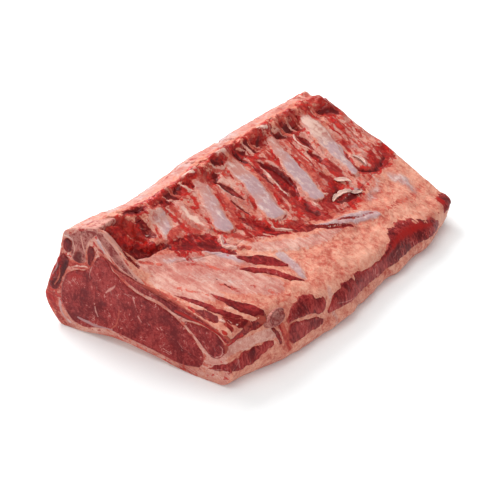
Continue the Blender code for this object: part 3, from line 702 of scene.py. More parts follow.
BETWEEN_MARKS = (
    # between the last rib recess and the second finger
    edge_mark(((-23, -129), (-24, -119), (-25, -111)), (5, 6, 5), 0.85, 2.5, rise=1.2),
    blood_mark(((-47, -107), (-32, -105), (-17, -107), (-6, -110)), (3.4, 4, 4, 3), 0.8, 3.5, rise=0.8),
    edge_mark(((-44, -98), (-27, -96), (-10, -101)), (5, 5.5, 5), 0.85, 3, rise=0.6),
    silver_mark(((-12, -128), (-6, -122)), (3.5,), 0.8),
    lean_mark(((-14, -135), (-6, -119), (4, -105), (13, -97), (25, -94)), (5.5, 10, 12, 9.5, 5), rise=-1.6),
    dark_mark(((-12, -131), (-2, -115), (9, -102)), (3, 5.5, 4), 0.62, 4.5, rise=-0.8),
    blood_mark(((-3, -95), (8, -92), (20, -90)), (3, 3.6, 2.6), 0.85, 2.4),
    edge_mark(((6, -78), (16, -70), (26, -64)), (3, 5, 4), 0.85, 3, rise=0.4),
    cream_mark(((-42, -88), (-30, -90), (-20, -90), (-9, -88)), (4.5, 7.5, 8.5, 6), rise=3, over=True),
    pale_mark(((-38, -89), (-27, -91), (-13, -90)), (2.4, 5, 2.8), 0.72, 3),
    # between the second and third fingers
    edge_mark(((-48, -36), (-28, -40), (-6, -50), (10, -58)), (3, 3.5, 3.5, 3), 0.9, 3),
    cream_mark(((-46, -17), (-24, -14), (-4, -22)), (3, 4, 3), 0.9, rise=1.4),
    cream_mark(((-40, -35), (-22, -34), (-4, -42)), (2, 3, 3.5), 0.9, rise=1.4),
    lean_mark(((-45, -27), (-28, -26), (-12, -22)), (0.8, 6, 1.2), 1, 1.2, rise=-3.5),
    dark_mark(((-42, -27), (-30, -27), (-18, -24)), (0.8, 3.2, 0.8), 0.8, rise=-1.5),
    lean_mark(((-18, -37), (-8, -36), (4, -33)), (0.6, 2.6, 0.6), 1, 1, rise=-2),
    pale_mark(((-40, -31.5), (-28, -31), (-16, -28)), (0.6, 0.9, 0.6), 0.75, 0.8, rise=1.2),
    blood_mark(((6, -40), (18, -37), (30, -26), (38, -10), (40, 6)), (5, 8, 8, 7, 6), 1, 5, rise=-1.2),
    lean_mark(((4, -47), (14, -41), (26, -34), (38, -20)), (4, 8, 8, 5), 1, 3, rise=-0.8),
    dark_mark(((8, -44), (16, -38), (24, -32)), (2, 4, 2.5), 0.6, 4, rise=-0.6),
    blood_mark(((10, -58), (22, -52), (34, -42)), (2, 3.4, 2), 0.95, 2.5),
    dark_mark(((20, -38), (28, -30), (34, -20)), (2.5, 4, 2.5), 0.65, 4, rise=-1),
    edge_mark(((-30, -36), (-12, -42), (4, -46)), (1.6, 2.6, 1.8), 0.9, 2.4),
    # between the third and fourth fingers
    edge_mark(((-24, 18), (-6, 18), (10, 14)), (2, 4, 3.4), 0.95, 2.4, rise=0.4),
    blood_mark(((-6, 26), (8, 24), (18, 22)), (2, 4.4, 4), 0.95, 3, rise=-0.4),
    edge_mark(((-38, 22), (-18, 22), (6, 17)), (3, 3.5, 3.5), 0.9, 3),
    lean_mark(((-37, 38), (-16, 42), (2, 40), (16, 35)), (1.2, 8.6, 10, 4), 1, 1.4, rise=-3.4),
    dark_mark(((-33, 40), (-16, 47), (0, 47.5)), (1.4, 3.2, 2.4), 0.75, rise=-1.2),
    lean_mark(((-39, 27), (-22, 25.5), (-4, 25)), (0.8, 3.2, 0.8), 1, 0.9, rise=-2.4),
    dark_mark(((-34, 26.5), (-22, 24.5), (-10, 24)), (0.5, 1.3, 0.5), 0.7, 0.9, rise=-0.8),
    lean_mark(((-60, 19), (-51, 24), (-41, 27)), (1.5, 3.4, 1.5), 1, 1.4, rise=-1.5),
    dark_mark(((-58, 20), (-51, 25), (-44, 28)), (0.8, 2, 0.8), 0.85, 1.2, rise=-1),
    blood_mark(((-50, 34), (-42, 40), (-36, 48)), (2, 3.6, 2), 0.95),
    pale_mark(((-36, 32), (-20, 31), (-2, 28), (12, 27)), (0.7, 1.3, 1.2, 0.8), 0.75, 0.9, rise=1.6),
    pale_mark(((-24, 50), (-6, 53), (8, 51)), (0.5, 0.8, 0.5), 0.7, 0.8, rise=1),
    edge_mark(((-44, 58), (-28, 55), (-8, 51)), (2.5, 3, 2.5), 0.85, 2.5),
    blood_mark(((2, 14), (14, 12), (22, 8)), (3, 5, 3), 0.85, 4, rise=0.2),
    blood_mark(((16, 32), (30, 30), (42, 30), (54, 38)), (6, 13, 13, 5), 1, 5, rise=-1.2),
    lean_mark(((24, 34), (36, 30), (46, 32)), (6, 9, 5), 0.95, 3.5, rise=-0.8),
    dark_mark(((27, 36), (36, 31), (44, 33)), (3, 5.5, 3.5), 0.75, 4.5, rise=-1.4),
    # between the fourth and fifth fingers
    edge_mark(((-38, 94), (-14, 88), (8, 78)), (3, 4, 4), 0.9, 3),
    blood_mark(((-40, 98), (-16, 95), (4, 92)), (1, 1.6, 1), 1, 1.2, rise=-1),
    lean_mark(((-38, 115), (-27, 115.5), (-16, 115)), (1.2, 6, 1.6), 1, 1.4, rise=-2.8),
    lean_mark(((-18, 105), (-5, 107), (8, 107)), (1, 6.4, 2), 1, 1.4, rise=-2.8),
    dark_mark(((-33, 116), (-24, 117)), (2, 2.6), 0.7, rise=-0.8),
    pale_mark(((-42, 113), (-36, 107), (-26, 106), (-16, 110)), (1, 1.4, 1.2, 0.8), 0.8, 0.9, rise=1.4),
    pale_mark(((-20, 99), (-6, 100), (6, 98)), (0.5, 0.9, 0.5), 0.75, 0.8, rise=1),
    cream_mark(((-30, 125), (-12, 121), (4, 115)), (1.8, 2.4, 1.8), 0.9, 1.4, rise=1.4),
    blood_mark(((4, 111), (15, 109), (27, 106)), (5, 8, 6), 1, 3, rise=0.8),
    blood_mark(((14, 90), (28, 92), (38, 78), (40, 58)), (5, 9, 10, 8), 1, 5, rise=-1.2),
    lean_mark(((28, 92), (38, 80), (42, 64)), (5, 7, 6), 0.95, 3.5, rise=-0.8),
    dark_mark(((32, 88), (38, 76), (42, 62)), (2.5, 4.5, 3.5), 0.7, 4.5, rise=-1.2),
    edge_mark(((10, 84), (18, 76), (28, 72)), (3, 4, 3), 0.9, 3, rise=0.2),
)
FOOT_MARKS = (
    cream_mark(((21, -24), (28, -26), (36, -18), (44, -9)), (1.4, 2, 2, 1.2), 1, 1.2, rise=1.2, over=True),
    pale_mark(((22, -24), (28, -25.5), (36, -18), (43, -10)), (0.6, 0.9, 0.9, 0.5), 0.85, 0.9, rise=0.6),
    cream_mark(
        ((5, -86), (12, -92), (20, -90), (29, -80)), (1.6, 2.2, 2.2, 1.2), 1, 1.2, rise=1.2, over=True,
    ),
    silver_mark(((7, -86), (13, -90), (20, -87)), (1.2, 1.8, 1.2), 0.9, 1.6),
    pale_mark(((6, -87), (12, -92.5), (20, -90.5), (28, -81)), (0.6, 0.9, 0.8, 0.5), 0.8, 0.9, rise=0.6),
    cream_mark(((24, 46), (33, 43), (43, 42)), (1.4, 1.8, 0.9), 1, 1.2, rise=1, over=True),
    pale_mark(((25, 46), (33, 43), (42, 42)), (0.6, 0.9, 0.5), 0.85, 0.9, rise=0.6),
    cream_mark(((28, 56), (31, 62), (34, 70)), (1.8, 2, 0.8), 0.95, 1.2, rise=0.8, over=True),
    pale_mark(((29, 58), (31, 63), (33, 69)), (0.8, 1, 0.5), 0.8, 0.9, rise=0.5),
)
REAR_MARKS = (
    hollow(((-62, 188), (-50, 194)), (9,), 1, 6, rise=4.2),
    hollow(((-42, 197), (-32, 201)), (8, 6), 1, 6, rise=1.8),
    blood_mark(
        ((9, 146), (18, 138), (32, 136), (40, 148), (41, 168), (37, 188), (26, 197)), (4, 6, 7, 7, 7, 6, 4),
        0.95, 4, rise=-1,
    ),
    dark_mark(
        ((11, 146), (20, 138), (32, 138), (41, 150), (41, 168), (36, 186)), (1, 2.4, 3, 3, 2.4, 1.4), 0.8,
        3, rise=-2.6,
    ),
    silver_mark(((-2, 150), (8, 143), (14, 136)), (2.5, 3.5, 2), 0.9),
    silver_mark(((2, 158), (8, 168)), (2, 2.6), 0.8, 2.5),
    cream_mark(((-36, 172), (-14, 170), (12, 166), (24, 160)), (3, 3.4, 3.4, 2.5), 0.95, rise=1.2),
    cream_mark(((-32, 181), (-10, 180), (14, 176)), (2.4, 2.8, 2.4), 0.95, rise=1.2),
    edge_mark(((-38, 176), (-8, 175.5), (18, 171)), (1.2,), 0.95, 1.2, rise=-0.8),
    edge_mark(((-34, 187), (-6, 186), (22, 182)), (1.4,), 0.95, 1.2, rise=-0.8),
    edge_mark(((-32, 166), (-12, 166), (8, 163)), (1.3,), 0.95, 1.2, rise=-0.6),
    blood_mark(((-30, 167), (-12, 166.5)), (0.8,), 0.9, 0.8, rise=-0.4),
    cream_mark(((-27, 196), (6, 202), (38, 206)), (6, 6, 5), 0.9, rise=0.8),
    blood_mark(((20, 190), (34, 194), (42, 198)), (4, 6, 4), 0.9, 3.5, rise=-0.8),
    silver_mark(((60, 165), (70, 174), (82, 172)), (7, 9, 6), 0.8, 5),
    silver_mark(((50, 150), (60, 128), (64, 104)), (4, 6, 5), 0.56, 5),
    silver_mark(((43, 72), (44, 88), (50, 104)), (3, 6, 4), 0.95, 2.5, rise=0.8),
    dark_mark(((49, 70), (52, 88), (52, 104)), (2.5, 4, 3), 0.95, 2.5, rise=-1.2),
    silver_mark(((54, 14), (66, 38), (74, 66), (84, 86)), (1.5, 5, 8, 6), rise=1.2),
    edge_mark(((60, 22), (68, 36), (76, 52), (84, 72)), (1.4, 2.4, 3, 1.8), 0.72, 3, rise=-0.4, over=True),
    lean_mark(((64, 40), (70, 54), (74, 66)), (0.8, 2.4, 1), 0.9, 1.6, rise=-0.8),
    pale_mark(((56, 18), (66, 30), (74, 44)), (0.5, 0.8, 0.5), 0.7, 0.9, rise=0.6),
    lean_mark(((54, 12), (66, 28), (78, 47)), (2, 3.4, 1.4), 1, 1.4, rise=-1.2),
    edge_mark(((56, -54), (74, -56), (90, -64)), (1.4, 2, 1), 0.62, 3),
    lean_mark(((72, 62), (80, 84)), (1.6, 2.6), 0.62, 3, rise=-0.6),
    lean_mark(((42, -8), (48, 2), (52, 10)), (5.5, 6, 3.5), 0.95, 3, rise=-0.6),
)
SHEET_MARKS = (
    edge_mark(((-12, -160), (4, -146), (22, -132), (44, -118)), (2, 3, 3, 2), 0.7, 4),
    edge_mark(((24, -176), (44, -166), (60, -160)), (2, 3, 2), 0.64, 4),
    silver_mark(((10, -160), (34, -142), (56, -126)), (6, 9, 6), 0.52, 7),
    edge_mark(((-22, -180), (-14, -172), (-6, -164)), (1.6, 2.4, 1.6), 0.8, 2.5),
    edge_mark(((66, -120), (84, -110), (100, -96)), (3, 5, 3), 0.55, 6),
    edge_mark(((52, 40), (60, 70), (62, 100), (66, 130)), (5, 7, 8, 6), 0.6, 6),
    edge_mark(((84, 110), (88, 150), (84, 188)), (5, 7, 5), 0.55, 6),
    cream_mark(((-12, -172), (14, -150), (48, -128), (78, -104)), (13, 24, 22, 13), 1, 5, rise=-0.4),
    pale_mark(((28, -156), (40, -146), (50, -140)), (2, 4, 2), 0.46, 5),
    pale_mark(((2, -166), (10, -158), (18, -150)), (2, 3, 2), 0.46, 5),
    pale_mark(((38, -184), (50, -180), (60, -174)), (1.4, 2.4, 1.4), 0.62, 2.4, rise=0.3),
    pale_mark(((66, -166), (72, -160), (80, -156)), (1.2, 2.4, 1.2), 0.62, 2.4, rise=0.3),
    cream_mark(((6, -178), (34, -172), (56, -158)), (11, 12, 8), 0.9, 5),
    cream_mark(((10, -122), (34, -100), (48, -92)), (12, 12, 6), 0.9, 4),
    cream_mark(((34, -68), (50, -42), (64, -8), (72, 30)), (7, 9, 8, 4), 0.8, 4, rise=0.6),
    silver_mark(((57, -55), (74, -58), (90, -66)), (6, 7, 4), 0.95, 3, rise=0.3),
    silver_mark(((8, -114), (24, -104), (40, -98)), (5, 6, 4), 0.95, 3, rise=0.3),
    silver_mark(((-8, -156), (4, -142), (14, -126)), (4, 4, 3), 0.85, 3),
    edge_mark(((46, -142), (56, -138), (66, -134)), (4, 4, 3), 0.62, 3),
    dark_mark(((50, -139.5), (56, -138)), (1, 1.3), 0.95, 0.9, rise=-0.9),
    dark_mark(((40, -139), (42, -138)), (1,), 0.8, 0.9, rise=-0.7),
    edge_mark(((26, -84), (32, -74)), (2.6, 2.2), 1, 1.6, rise=0.4),
    pale_mark(((38, -66), (52, -48), (62, -30)), (0.8, 0.9, 0.6), 0.62, 1.2, rise=0.6),
    pale_mark(((46, -60), (60, -40), (70, -18)), (0.8, 0.8, 0.5), 0.6, 1.2, rise=0.6),
    lean_mark(((48, -187), (59, -184), (70, -181)), (1.5, 4, 4.5), 1, 1.8, rise=-0.6),
    blood_mark(((46, -188), (52, -187)), (1.5, 2), 0.9, 1.6),
    lean_mark(((76, -172), (84, -168), (92, -162), (99, -156)), (3, 4, 5.5, 4), 1, 1.8, rise=-0.8),
    dark_mark(((90, -163), (97, -157)), (3,), 0.6, 2.5),
    cream_mark(((75, -178), (77, -174)), (2.2, 2), 0.9, 1.4, rise=0.4),
    pale_mark(((75, -178), (77, -175)), (1.4, 1), 0.8, 1.2, rise=0.4),
    lean_mark(((80, -177), (85, -176)), (2.4, 2.6), 1, 1.2, rise=-0.4),
    pale_mark(((85, -170.5), (87, -168)), (1.6,), 0.75, 1.4, rise=0.4),
    blood_mark(((74, -190), (84, -187), (92, -183)), (2, 3, 3), 0.95, 1.8, rise=0.3),
    pale_mark(((30, -190), (50, -180.5), (66, -177.5), (82, -171)), (0.5, 0.8, 0.7, 0.5), 0.7, 1, rise=0.4),
    edge_mark(((-6, -194), (10, -193), (30, -190), (46, -189)), (2, 2.4, 2.6, 2), 0.85, 2.2),
)


@dataclass(frozen=True)
class BoneSide:
    """The bone side of the loin: its relief and the tissues that show on it."""

    shape: LoinShape
    grain: Grain
    marks: tuple[Mark, ...] = (
        RECESS_MARKS + CREST_MARKS + BETWEEN_MARKS + FOOT_MARKS + REAR_MARKS + SHEET_MARKS
    )
    lean_start: float = -152.0
    lean_edge: Path2 = (
        (-152, 2), (-120, 15), (-92, 24), (-66, 23), (-40, 33), (-15, 42),
        (26, 48), (56, 58), (82, 60), (110, 52), (150, 48), (210, 44),
    )
    lean_inner: float = -50.0
    finger_turn: float = math.radians(-22.0)

    def lumps(self, x: Array, y: Array) -> Array:
        """Soft unevenness of the surface in mm, common to every tissue."""
        p = in_plan(x, y)
        ridge = soft_step(x, 40.0, 80.0) * soft_step(y, -110.0, -60.0)
        belt = band(-x, 44.0, 53.0, 68.0, 78.0)
        sheet = soft_step(-y, 95.0, 130.0) * soft_step(x, -15.0, 5.0)
        coarse = self.grain.layers(p, 22.0, 2) * (1.3 + 0.8 * ridge - 0.5 * sheet)
        fine = self.grain.layers(p + 71.0, 6.5, 3, 0.55) * (0.75 + 0.5 * ridge + 0.8 * belt - 0.45 * sheet)
        return coarse + fine + 1.5 * belt * self.grain.layers(p + 39.0, 4.2, 2)

    def paint(self, x: Array, y: Array, weight: Array) -> tuple[dict[str, Array], Array]:
        """Tissues and relief of the bone side.

        Args:
            x: Places across.
            y: Places along.
            weight: How far each point belongs to the bone side.

        Returns:
            Tissue amounts and relief in mm.
        """
        p = in_plan(x, y)
        grain, wander = self.grain, 2.6
        tissues = no_tissues(x.shape)
        rise = self.lumps(x, y) * weight
        outer = read(self.lean_edge, y)
        past_recess = soft_step(y, -150.0, -138.0)
        bed = weight * band(x, -62.0, -50.0, outer - 4.0, outer + 12.0) * past_recess
        cos, sin = math.cos(self.finger_turn), math.sin(self.finger_turn)
        strand = grain.layers(in_plan((x * cos + y * sin) * 0.28, y * cos - x * sin) + 7.0, 4.5, 3, 0.6)
        patch = grain.layers(p + 91.0, 15.0, 3)
        tip = soft_step(x, outer - 34.0, outer - 10.0)
        tissues["cream"] = bed * unit(0.62 + 0.5 * strand)
        tissues["edge"] = bed * unit(0.43 + 0.45 * patch - 0.6 * strand + 0.16 * tip)
        tissues["blood"] = bed * unit(0.28 + 0.5 * patch - 0.65 * strand + 0.22 * tip)
        belt = weight * band(-x, 44.0, 52.0, 62.0, 76.0) * past_recess
        clot = grain.layers(p + 133.0, 7.0, 3, 0.6)
        bloody = unit(0.48 + 0.75 * patch + 0.45 * clot)
        show(tissues, edge=belt * unit(0.70 + 0.5 * clot), blood=belt * bloody)
        tissues["dark"] = belt * np.clip(0.04 - 0.7 * clot + 0.2 * patch, 0.0, 0.6)
        brow = weight * soft_step(-x, 66.0, 76.0)
        tissues["silver"] = brow * unit(0.28 + 0.9 * patch)
        show(tissues, cream=brow * unit(0.72 + 0.4 * clot), edge=brow * unit(0.30 + 0.5 * clot))
        a = x + wander * grain.layers(p + 11.0, 8.0, 3, 0.65)
        b = y + wander * grain.layers(p + 53.0, 8.0, 3, 0.65)
        lay_all(self.marks, a, b, weight, tissues, rise)
        return tissues, rise

    def lean_depth(self, x: Array, y: Array) -> Array:
        """How far in mm a place lies inside the lean under the fingers."""
        outer = read(self.lean_edge, y)
        return np.minimum(np.minimum(outer - x, x - self.lean_inner), y - self.lean_start)


# -------------------------------------------------------------- fat cover


@dataclass
class FatCover:
    """The fat that wraps the loin: cap, flank, backbone side, crest and both cuts."""

    shape: LoinShape
    side: BoneSide
    front_marks: tuple[Mark, ...]
    rear_marks: tuple[Mark, ...]
    flank_marks: tuple[Mark, ...]
    back_marks: tuple[Mark, ...]
    cut_centre: tuple[float, float] = (-25.0, 42.0)
    edge_round: float = 2.0
    rows_along: int = 296
    front_rings: int = 34
    rear_rings: int = 22
    spans: tuple[int, ...] = (
        5, 4, 6, 7, 4, 6, 13, 13, 9,
        13, 21, 24, 25, 23, 11, 10, 12,
        12, 12, 4, 6, 5, 5, 3, 3, 3, 2, 3,
    )

    def _section(self, share: float) -> Array:
        """Outline of the whole loin at a station."""
        ring = through(self.shape.controls(share), self.spans, True)
        return np.concatenate([ring, ring[:1]])

    def _inset(self, ring: Array, by: float) -> Array:
        """The outline moved inwards."""
        run = np.roll(ring[:-1], -1, axis=0) - np.roll(ring[:-1], 1, axis=0)
        normal = np.stack([run[:, 1], -run[:, 0]], 1)
        normal /= np.linalg.norm(normal, axis=1)[:, None]
        moved = ring[:-1] - normal * by
        return np.concatenate([moved, moved[:1]])

    def _rows(self) -> Array:
        """Rows of points from the middle of the front cut to the middle of the rear cut."""
        shape, radius = self.shape, self.edge_round
        centre = np.array(self.cut_centre)
        rows = []

        def level(ring: Array, share: float, back: float) -> None:
            """Adds a row at a share, moved back by some mm."""
            x, z = ring[:, 0], ring[:, 1]
            y = shape.along(x, z, share) + back
            rows.append(np.stack([x, y, z], 1))

        first, last = self._section(0.0), self._section(1.0)
        for step in np.linspace(0.03, 1.0, self.front_rings) ** 0.8:
            level(centre + (self._inset(first, radius) - centre) * step, 0.0, 0.0)
        for angle in (30.0, 60.0):
            a = math.radians(angle)
            level(self._inset(first, radius * (1 - math.sin(a))), 0.0, radius * (1 - math.cos(a)))
        length = shape.back_y - shape.front_y
        for share in np.linspace(radius / length, 1.0 - radius / length, self.rows_along):
            level(self._section(share), share, 0.0)
        for angle in (60.0, 30.0):
            a = math.radians(angle)
            level(self._inset(last, radius * (1 - math.sin(a))), 1.0, -radius * (1 - math.cos(a)))
        for step in np.linspace(1.0, 0.04, self.rear_rings) ** 0.8:
            level(centre + (self._inset(last, radius) - centre) * step, 1.0, 0.0)
        return np.stack(rows)

    def build(self) -> Grid:
        """Shapes the whole cover and paints its tissues."""
        points = self._rows()
        normal = -outward(points)
        normal[:, 0] = normal[:, -1] = (normal[:, 0] + normal[:, -1]) / 2.0
        x, y, z = points[..., 0], points[..., 1], points[..., 2]
        up = soft_step(normal[..., 2], 0.25, 0.6) * soft_step(-np.abs(normal[..., 1]), -0.8, -0.4)
        front = soft_step(-normal[..., 1], 0.6, 0.85)
        rear = soft_step(normal[..., 1], 0.6, 0.85)
        long_side = (1 - front) * (1 - rear)
        flank = soft_step(normal[..., 0], 0.35, 0.75) * long_side
        back = soft_step(-normal[..., 0], 0.5, 0.8) * long_side
        tissues, rise = self.side.paint(x, y, up)
        grain = self.side.grain
        under = soft_step(-normal[..., 2], 0.4, 0.8)
        crest = soft_step(-x, 72.0, 84.0) * soft_step(z, 80.0, 94.0) * long_side
        unevenness = grain.layers(points, 18.0, 2) * 1.1 + grain.layers(points, 5.0, 2) * 0.5
        rise += (1 - up) * long_side * (1 - 0.75 * under) * (1 - 0.7 * crest) * unevenness
        foot = flank * (1.0 - soft_step(z, 12.0, 22.0)) * band(y, -150.0, -110.0, 70.0, 130.0)
        rise += foot * (3.6 + 2.6 * grain.layers(points + 61.0, 22.0, 2))
        rise += (front + rear) * grain.layers(points, 5.0, 3) * 0.3
        gap = np.min(np.abs(y[..., None] - np.array(self.shape.disc_y)), axis=-1)
        rise += crest * (1.4 - 4.2 * np.exp(-((gap / 7.0) ** 2)))
        lowered = soft_step(self.side.lean_depth(x, y), 0.5, 5.0) * up
        rise -= 4.0 * lowered
        wander = grain.layers(points + 17.0, 6.0, 3, 0.6) * 1.2
        soak = grain.layers(points + 87.0, 8.0, 3, 0.6)
        chine = soft_step(-x, 84.0, 104.0)
        stained = unit(0.26 + 0.7 * soak + 0.34 * chine + 0.16 * soft_step(z, 60.0, 84.0))
        bloody = unit(0.10 - 0.8 * soak + 0.42 * chine)
        show(tissues, cream=0.58 * front, edge=front * stained, blood=front * bloody)
        lay_all(self.front_marks, x + wander, z - wander, front, tissues, rise)
        lay_all(self.rear_marks, x + wander, z - wander, rear, tissues, rise)
        lay_all(self.flank_marks, y + wander, z - wander, flank, tissues, rise)
        lay_all(self.back_marks, y + wander, z - wander, back, tissues, rise)
        moved = points + normal * rise[..., None]
        moved[..., 2] = np.maximum(moved[..., 2], 0.0)
        return Grid("fat_cover_skin", moved, tissues, Closing.TUBE)


# ------------------------------------------------------------ finger lean


BELOW = (0.0, 0.0, -7.0)


@dataclass
class FingerLean:
    """The lean that lies under the finger bones and shows between them."""

    shape: LoinShape
    side: BoneSide
    columns: int = 112
    rows: int = 330
    rim: float = 7.0
    proud: float = 0.2
    rim_dip: float = 5.5

    def build(self) -> Grid:
        """Shapes the lean from the backbone out and from the recess to the rear cut."""
        side, shape = self.side, self.shape
        along = np.linspace(side.lean_start - self.rim * 0.5, shape.back_y + 0.8, self.rows)
        y = along[:, None] * np.ones(self.columns)
        outer = read(side.lean_edge, y) + self.rim * 0.5
        inner = np.full(outer.shape, side.lean_inner - self.rim * 0.5)
        x = inner + (outer - inner) * np.linspace(0.0, 1.0, self.columns)
        flat = np.minimum(y, shape.back_y)
        tissues, rise = side.paint(x, flat, np.ones(x.shape))
        depth = side.lean_depth(x, flat)
        show(tissues, edge=0.42 * soft_step(depth, -1.0, 3.0))
        z = shape.top(x, flat) + rise + self.proud - self.rim_dip * (1.0 - soft_step(depth, -2.5, 2.0))
        over = np.clip(y - (shape.back_y - 1.2), 0.0, 2.0)
        z = z - over * 2.2
        points = np.stack([x, np.minimum(y, shape.back_y + 0.3), z], -1)
        return Grid("finger_lean_layer", points, tissues, inward=BELOW)


# --------------------------------------------------------------- backbone


@dataclass(frozen=True)
class Vertebra:
    """One sawn backbone bone with its finger."""

    name: str
    from_y: float
    to_y: float
    finger: Path2
    half: tuple[float, ...]
    grey_from: float
    proud: float = 3.4


VERTEBRAE = (
    Vertebra(
        "vertebra_1", -159, -96.5, ((-54, -117), (-45, -118), (-37, -120), (-29, -128), (-21, -137)),
        (11, 11.5, 9, 5.5, 2.4), -50, 2.2,
    ),
    Vertebra(
        "vertebra_2", -92.2, -29.6, ((-58, -44), (-46, -49), (-33, -55), (-12, -66), (9, -74)),
        (9, 9.5, 10.5, 11, 14.5), -56,
    ),
    Vertebra(
        "vertebra_3", -25.4, 37.2, ((-58, 8), (-44, 6), (-26, 4), (-8, -1), (10, -8), (27, -12)),
        (11, 12, 13.5, 14.5, 13.5, 18), -48,
    ),
    Vertebra(
        "vertebra_4", 41.4, 104, ((-58, 84), (-48, 80), (-32, 72), (-12, 66), (6, 62), (24, 55), (36, 51)),
        (6.5, 8, 10.5, 12.5, 12.5, 11.5, 12.5), -44,
    ),
    Vertebra(
        "vertebra_5", 108.2, 170.8,
        ((-58, 152), (-46, 148), (-26, 143), (-7, 137), (9, 132), (21, 130), (37, 123)),
        (10, 12, 15.5, 13.5, 9.5, 7.5, 6.5), -24, 3,
    ),
)


@dataclass
class Backbone:
    """The sawn bones along the crest and the fingers that run out of them."""

    shape: LoinShape
    side: BoneSide
    across: int = 44
    out: int = 150
    neck_x: float = -55.0
    crest_proud: float = 0.55

    def _line(self, bone: Vertebra, step: Array) -> tuple[Array, Array, Array]:
        """Middle line of a bone and its half width, from the crest edge to the finger tip.

        Args:
            bone: Sizes of the bone.
            step: Places along the bone, from 0 to 1.

        Returns:
            The line in plan, its half widths, and how far each point is from the tip.
        """
        smooth = through(np.array(bone.finger, float), [12] * (len(bone.finger) - 1), False)
        curve = spaced(smooth, 200, False)
        gone = np.linspace(0.0, 1.0, 200)
        length = np.hypot(*np.diff(curve, axis=0).T).sum()
        head = curve[0, 0] + 93.0
        far = step * (head + length)
        on_finger = np.clip((far - head) / length, 0.0, 1.0)
        x = np.where(far < head, -93.0 + far, np.interp(on_finger, gone, curve[:, 0]))
        root = (bone.from_y + bone.to_y) / 2.0
        blend = soft_step(x, -72.0, self.neck_x - 1.0)
        y = root * (1.0 - blend) + np.interp(on_finger, gone, curve[:, 1]) * blend
        wide = np.interp(on_finger, np.linspace(0.0, 1.0, len(bone.half)), bone.half)
        body = (bone.to_y - bone.from_y) / 2.0 + 1.5
        neck = soft_step(x, -70.0, self.neck_x)
        half = body * (1.0 - neck) + wide * neck
        return np.stack([x, y], -1), half, (1.0 - on_finger) * length

    def build(self, bone: Vertebra) -> Grid:
        """Shapes one bone: a plate on the crest that narrows into its finger.

        Args:
            bone: Sizes of the bone.

        Returns:
            The bone's surface with its tissues.
        """
        grain = self.side.grain
        step = np.linspace(0.0, 1.0, self.out)
        line, half, left = self._line(bone, step)
        run = np.gradient(line, axis=0)
        on_crest = 1.0 - soft_step(line[:, 0], -66.0, -50.0)
        normal = np.stack([-run[:, 1] * (1 - on_crest), run[:, 0] * (1 - on_crest) + on_crest], 1)
        normal /= np.linalg.norm(normal, axis=1)[:, None]
        t = np.linspace(-1.0, 1.0, self.across)
        plan = spread(line, normal, half[:, None] * t)
        p3 = in_plan(plan[..., 0], plan[..., 1])
        to_tip = unit(1.0 - left / np.maximum(half * 0.8, 0.5))
        half = half * np.sqrt(np.clip(1.0 - to_tip**2, 0.002, 1.0))
        ragged = 1.0 + 0.26 * grain.layers(p3 + 5.0, 10.0, 3)
        plan = spread(line, normal, half[:, None] * t * ragged)
        x, y = plan[..., 0], plan[..., 1]
        edge = half[:, None] * (1.0 - np.abs(t))
        edge = np.minimum(edge, left[:, None] + 0.0 * edge)
        crest = on_crest[:, None]
        width = np.maximum(half[:, None], 1.0)
        fall = unit(edge / np.minimum(width * 0.95, 11.0))
        crown = np.sqrt(unit(1.0 - (1.0 - fall) ** 2))
        finger = bone.proud * crown + 0.5 * grain.layers(p3 + 9.0, 16.0, 2) * fall
        plate = self.crest_proud * soft_step(edge, 0.0, 2.0)
        rim = -1.3 * (1.0 - soft_step(edge, 0.0, 1.2))
        tissues, rise = self.side.paint(x, y, np.ones(x.shape))
        smooth = self.side.lumps(x, y)
        mix = soft_step(line[:, 0], -58.0, -44.0)[:, None]
        base = self.shape.top(x, y) + smooth * (1 - 0.65 * mix) + (rise - smooth) * (1 - mix)
        z = base + plate * crest + finger * (1 - crest) + rim
        outer = soft_step(-x, 84.0, 93.0)
        z = z - 3.5 * outer - 0.4
        worn = 2.4 * grain.layers(p3 + 15.0, 9.0, 3, 0.6)
        clear = soft_step(edge + worn, 0.0, 5.0) * mix
        for key in ("edge", "lean", "blood", "dark", "pale"):
            tissues[key] *= 1 - 0.92 * clear
        film = grain.layers(p3 + 21.0, 24.0, 2)
        lower = soft_step(x, bone.grey_from, bone.grey_from + 32.0)
        show(
            tissues,
            silver=(0.56 + 0.35 * film + 0.42 * lower) * clear,
            cream=0.95 * clear,
            pale=(0.10 + 0.45 * film + 0.22 * (1.0 - lower)) * clear,
        )
        near_tip = (1.0 - soft_step(left, 4.0, 16.0))[:, None]
        stain = soft_step(grain.layers(p3 + 33.0, 9.0, 3), 0.0, 0.4) * near_tip
        root = band(line[:, 0], -60.0, -52.0, -46.0, -36.0)[:, None]
        show(tissues, edge=0.85 * stain * mix)
        show(tissues, edge=0.85 * root * soft_step(grain.layers(p3 + 44.0, 8.0, 3), -0.1, 0.4))
        tissues["bone"] = crest * soft_step(edge, 0.5, 3.0) * soft_step(-x, 60.0, 66.0) * 0.42
        return Grid(bone.name + "_bone", np.stack([x, y, z], -1), tissues, inward=BELOW)

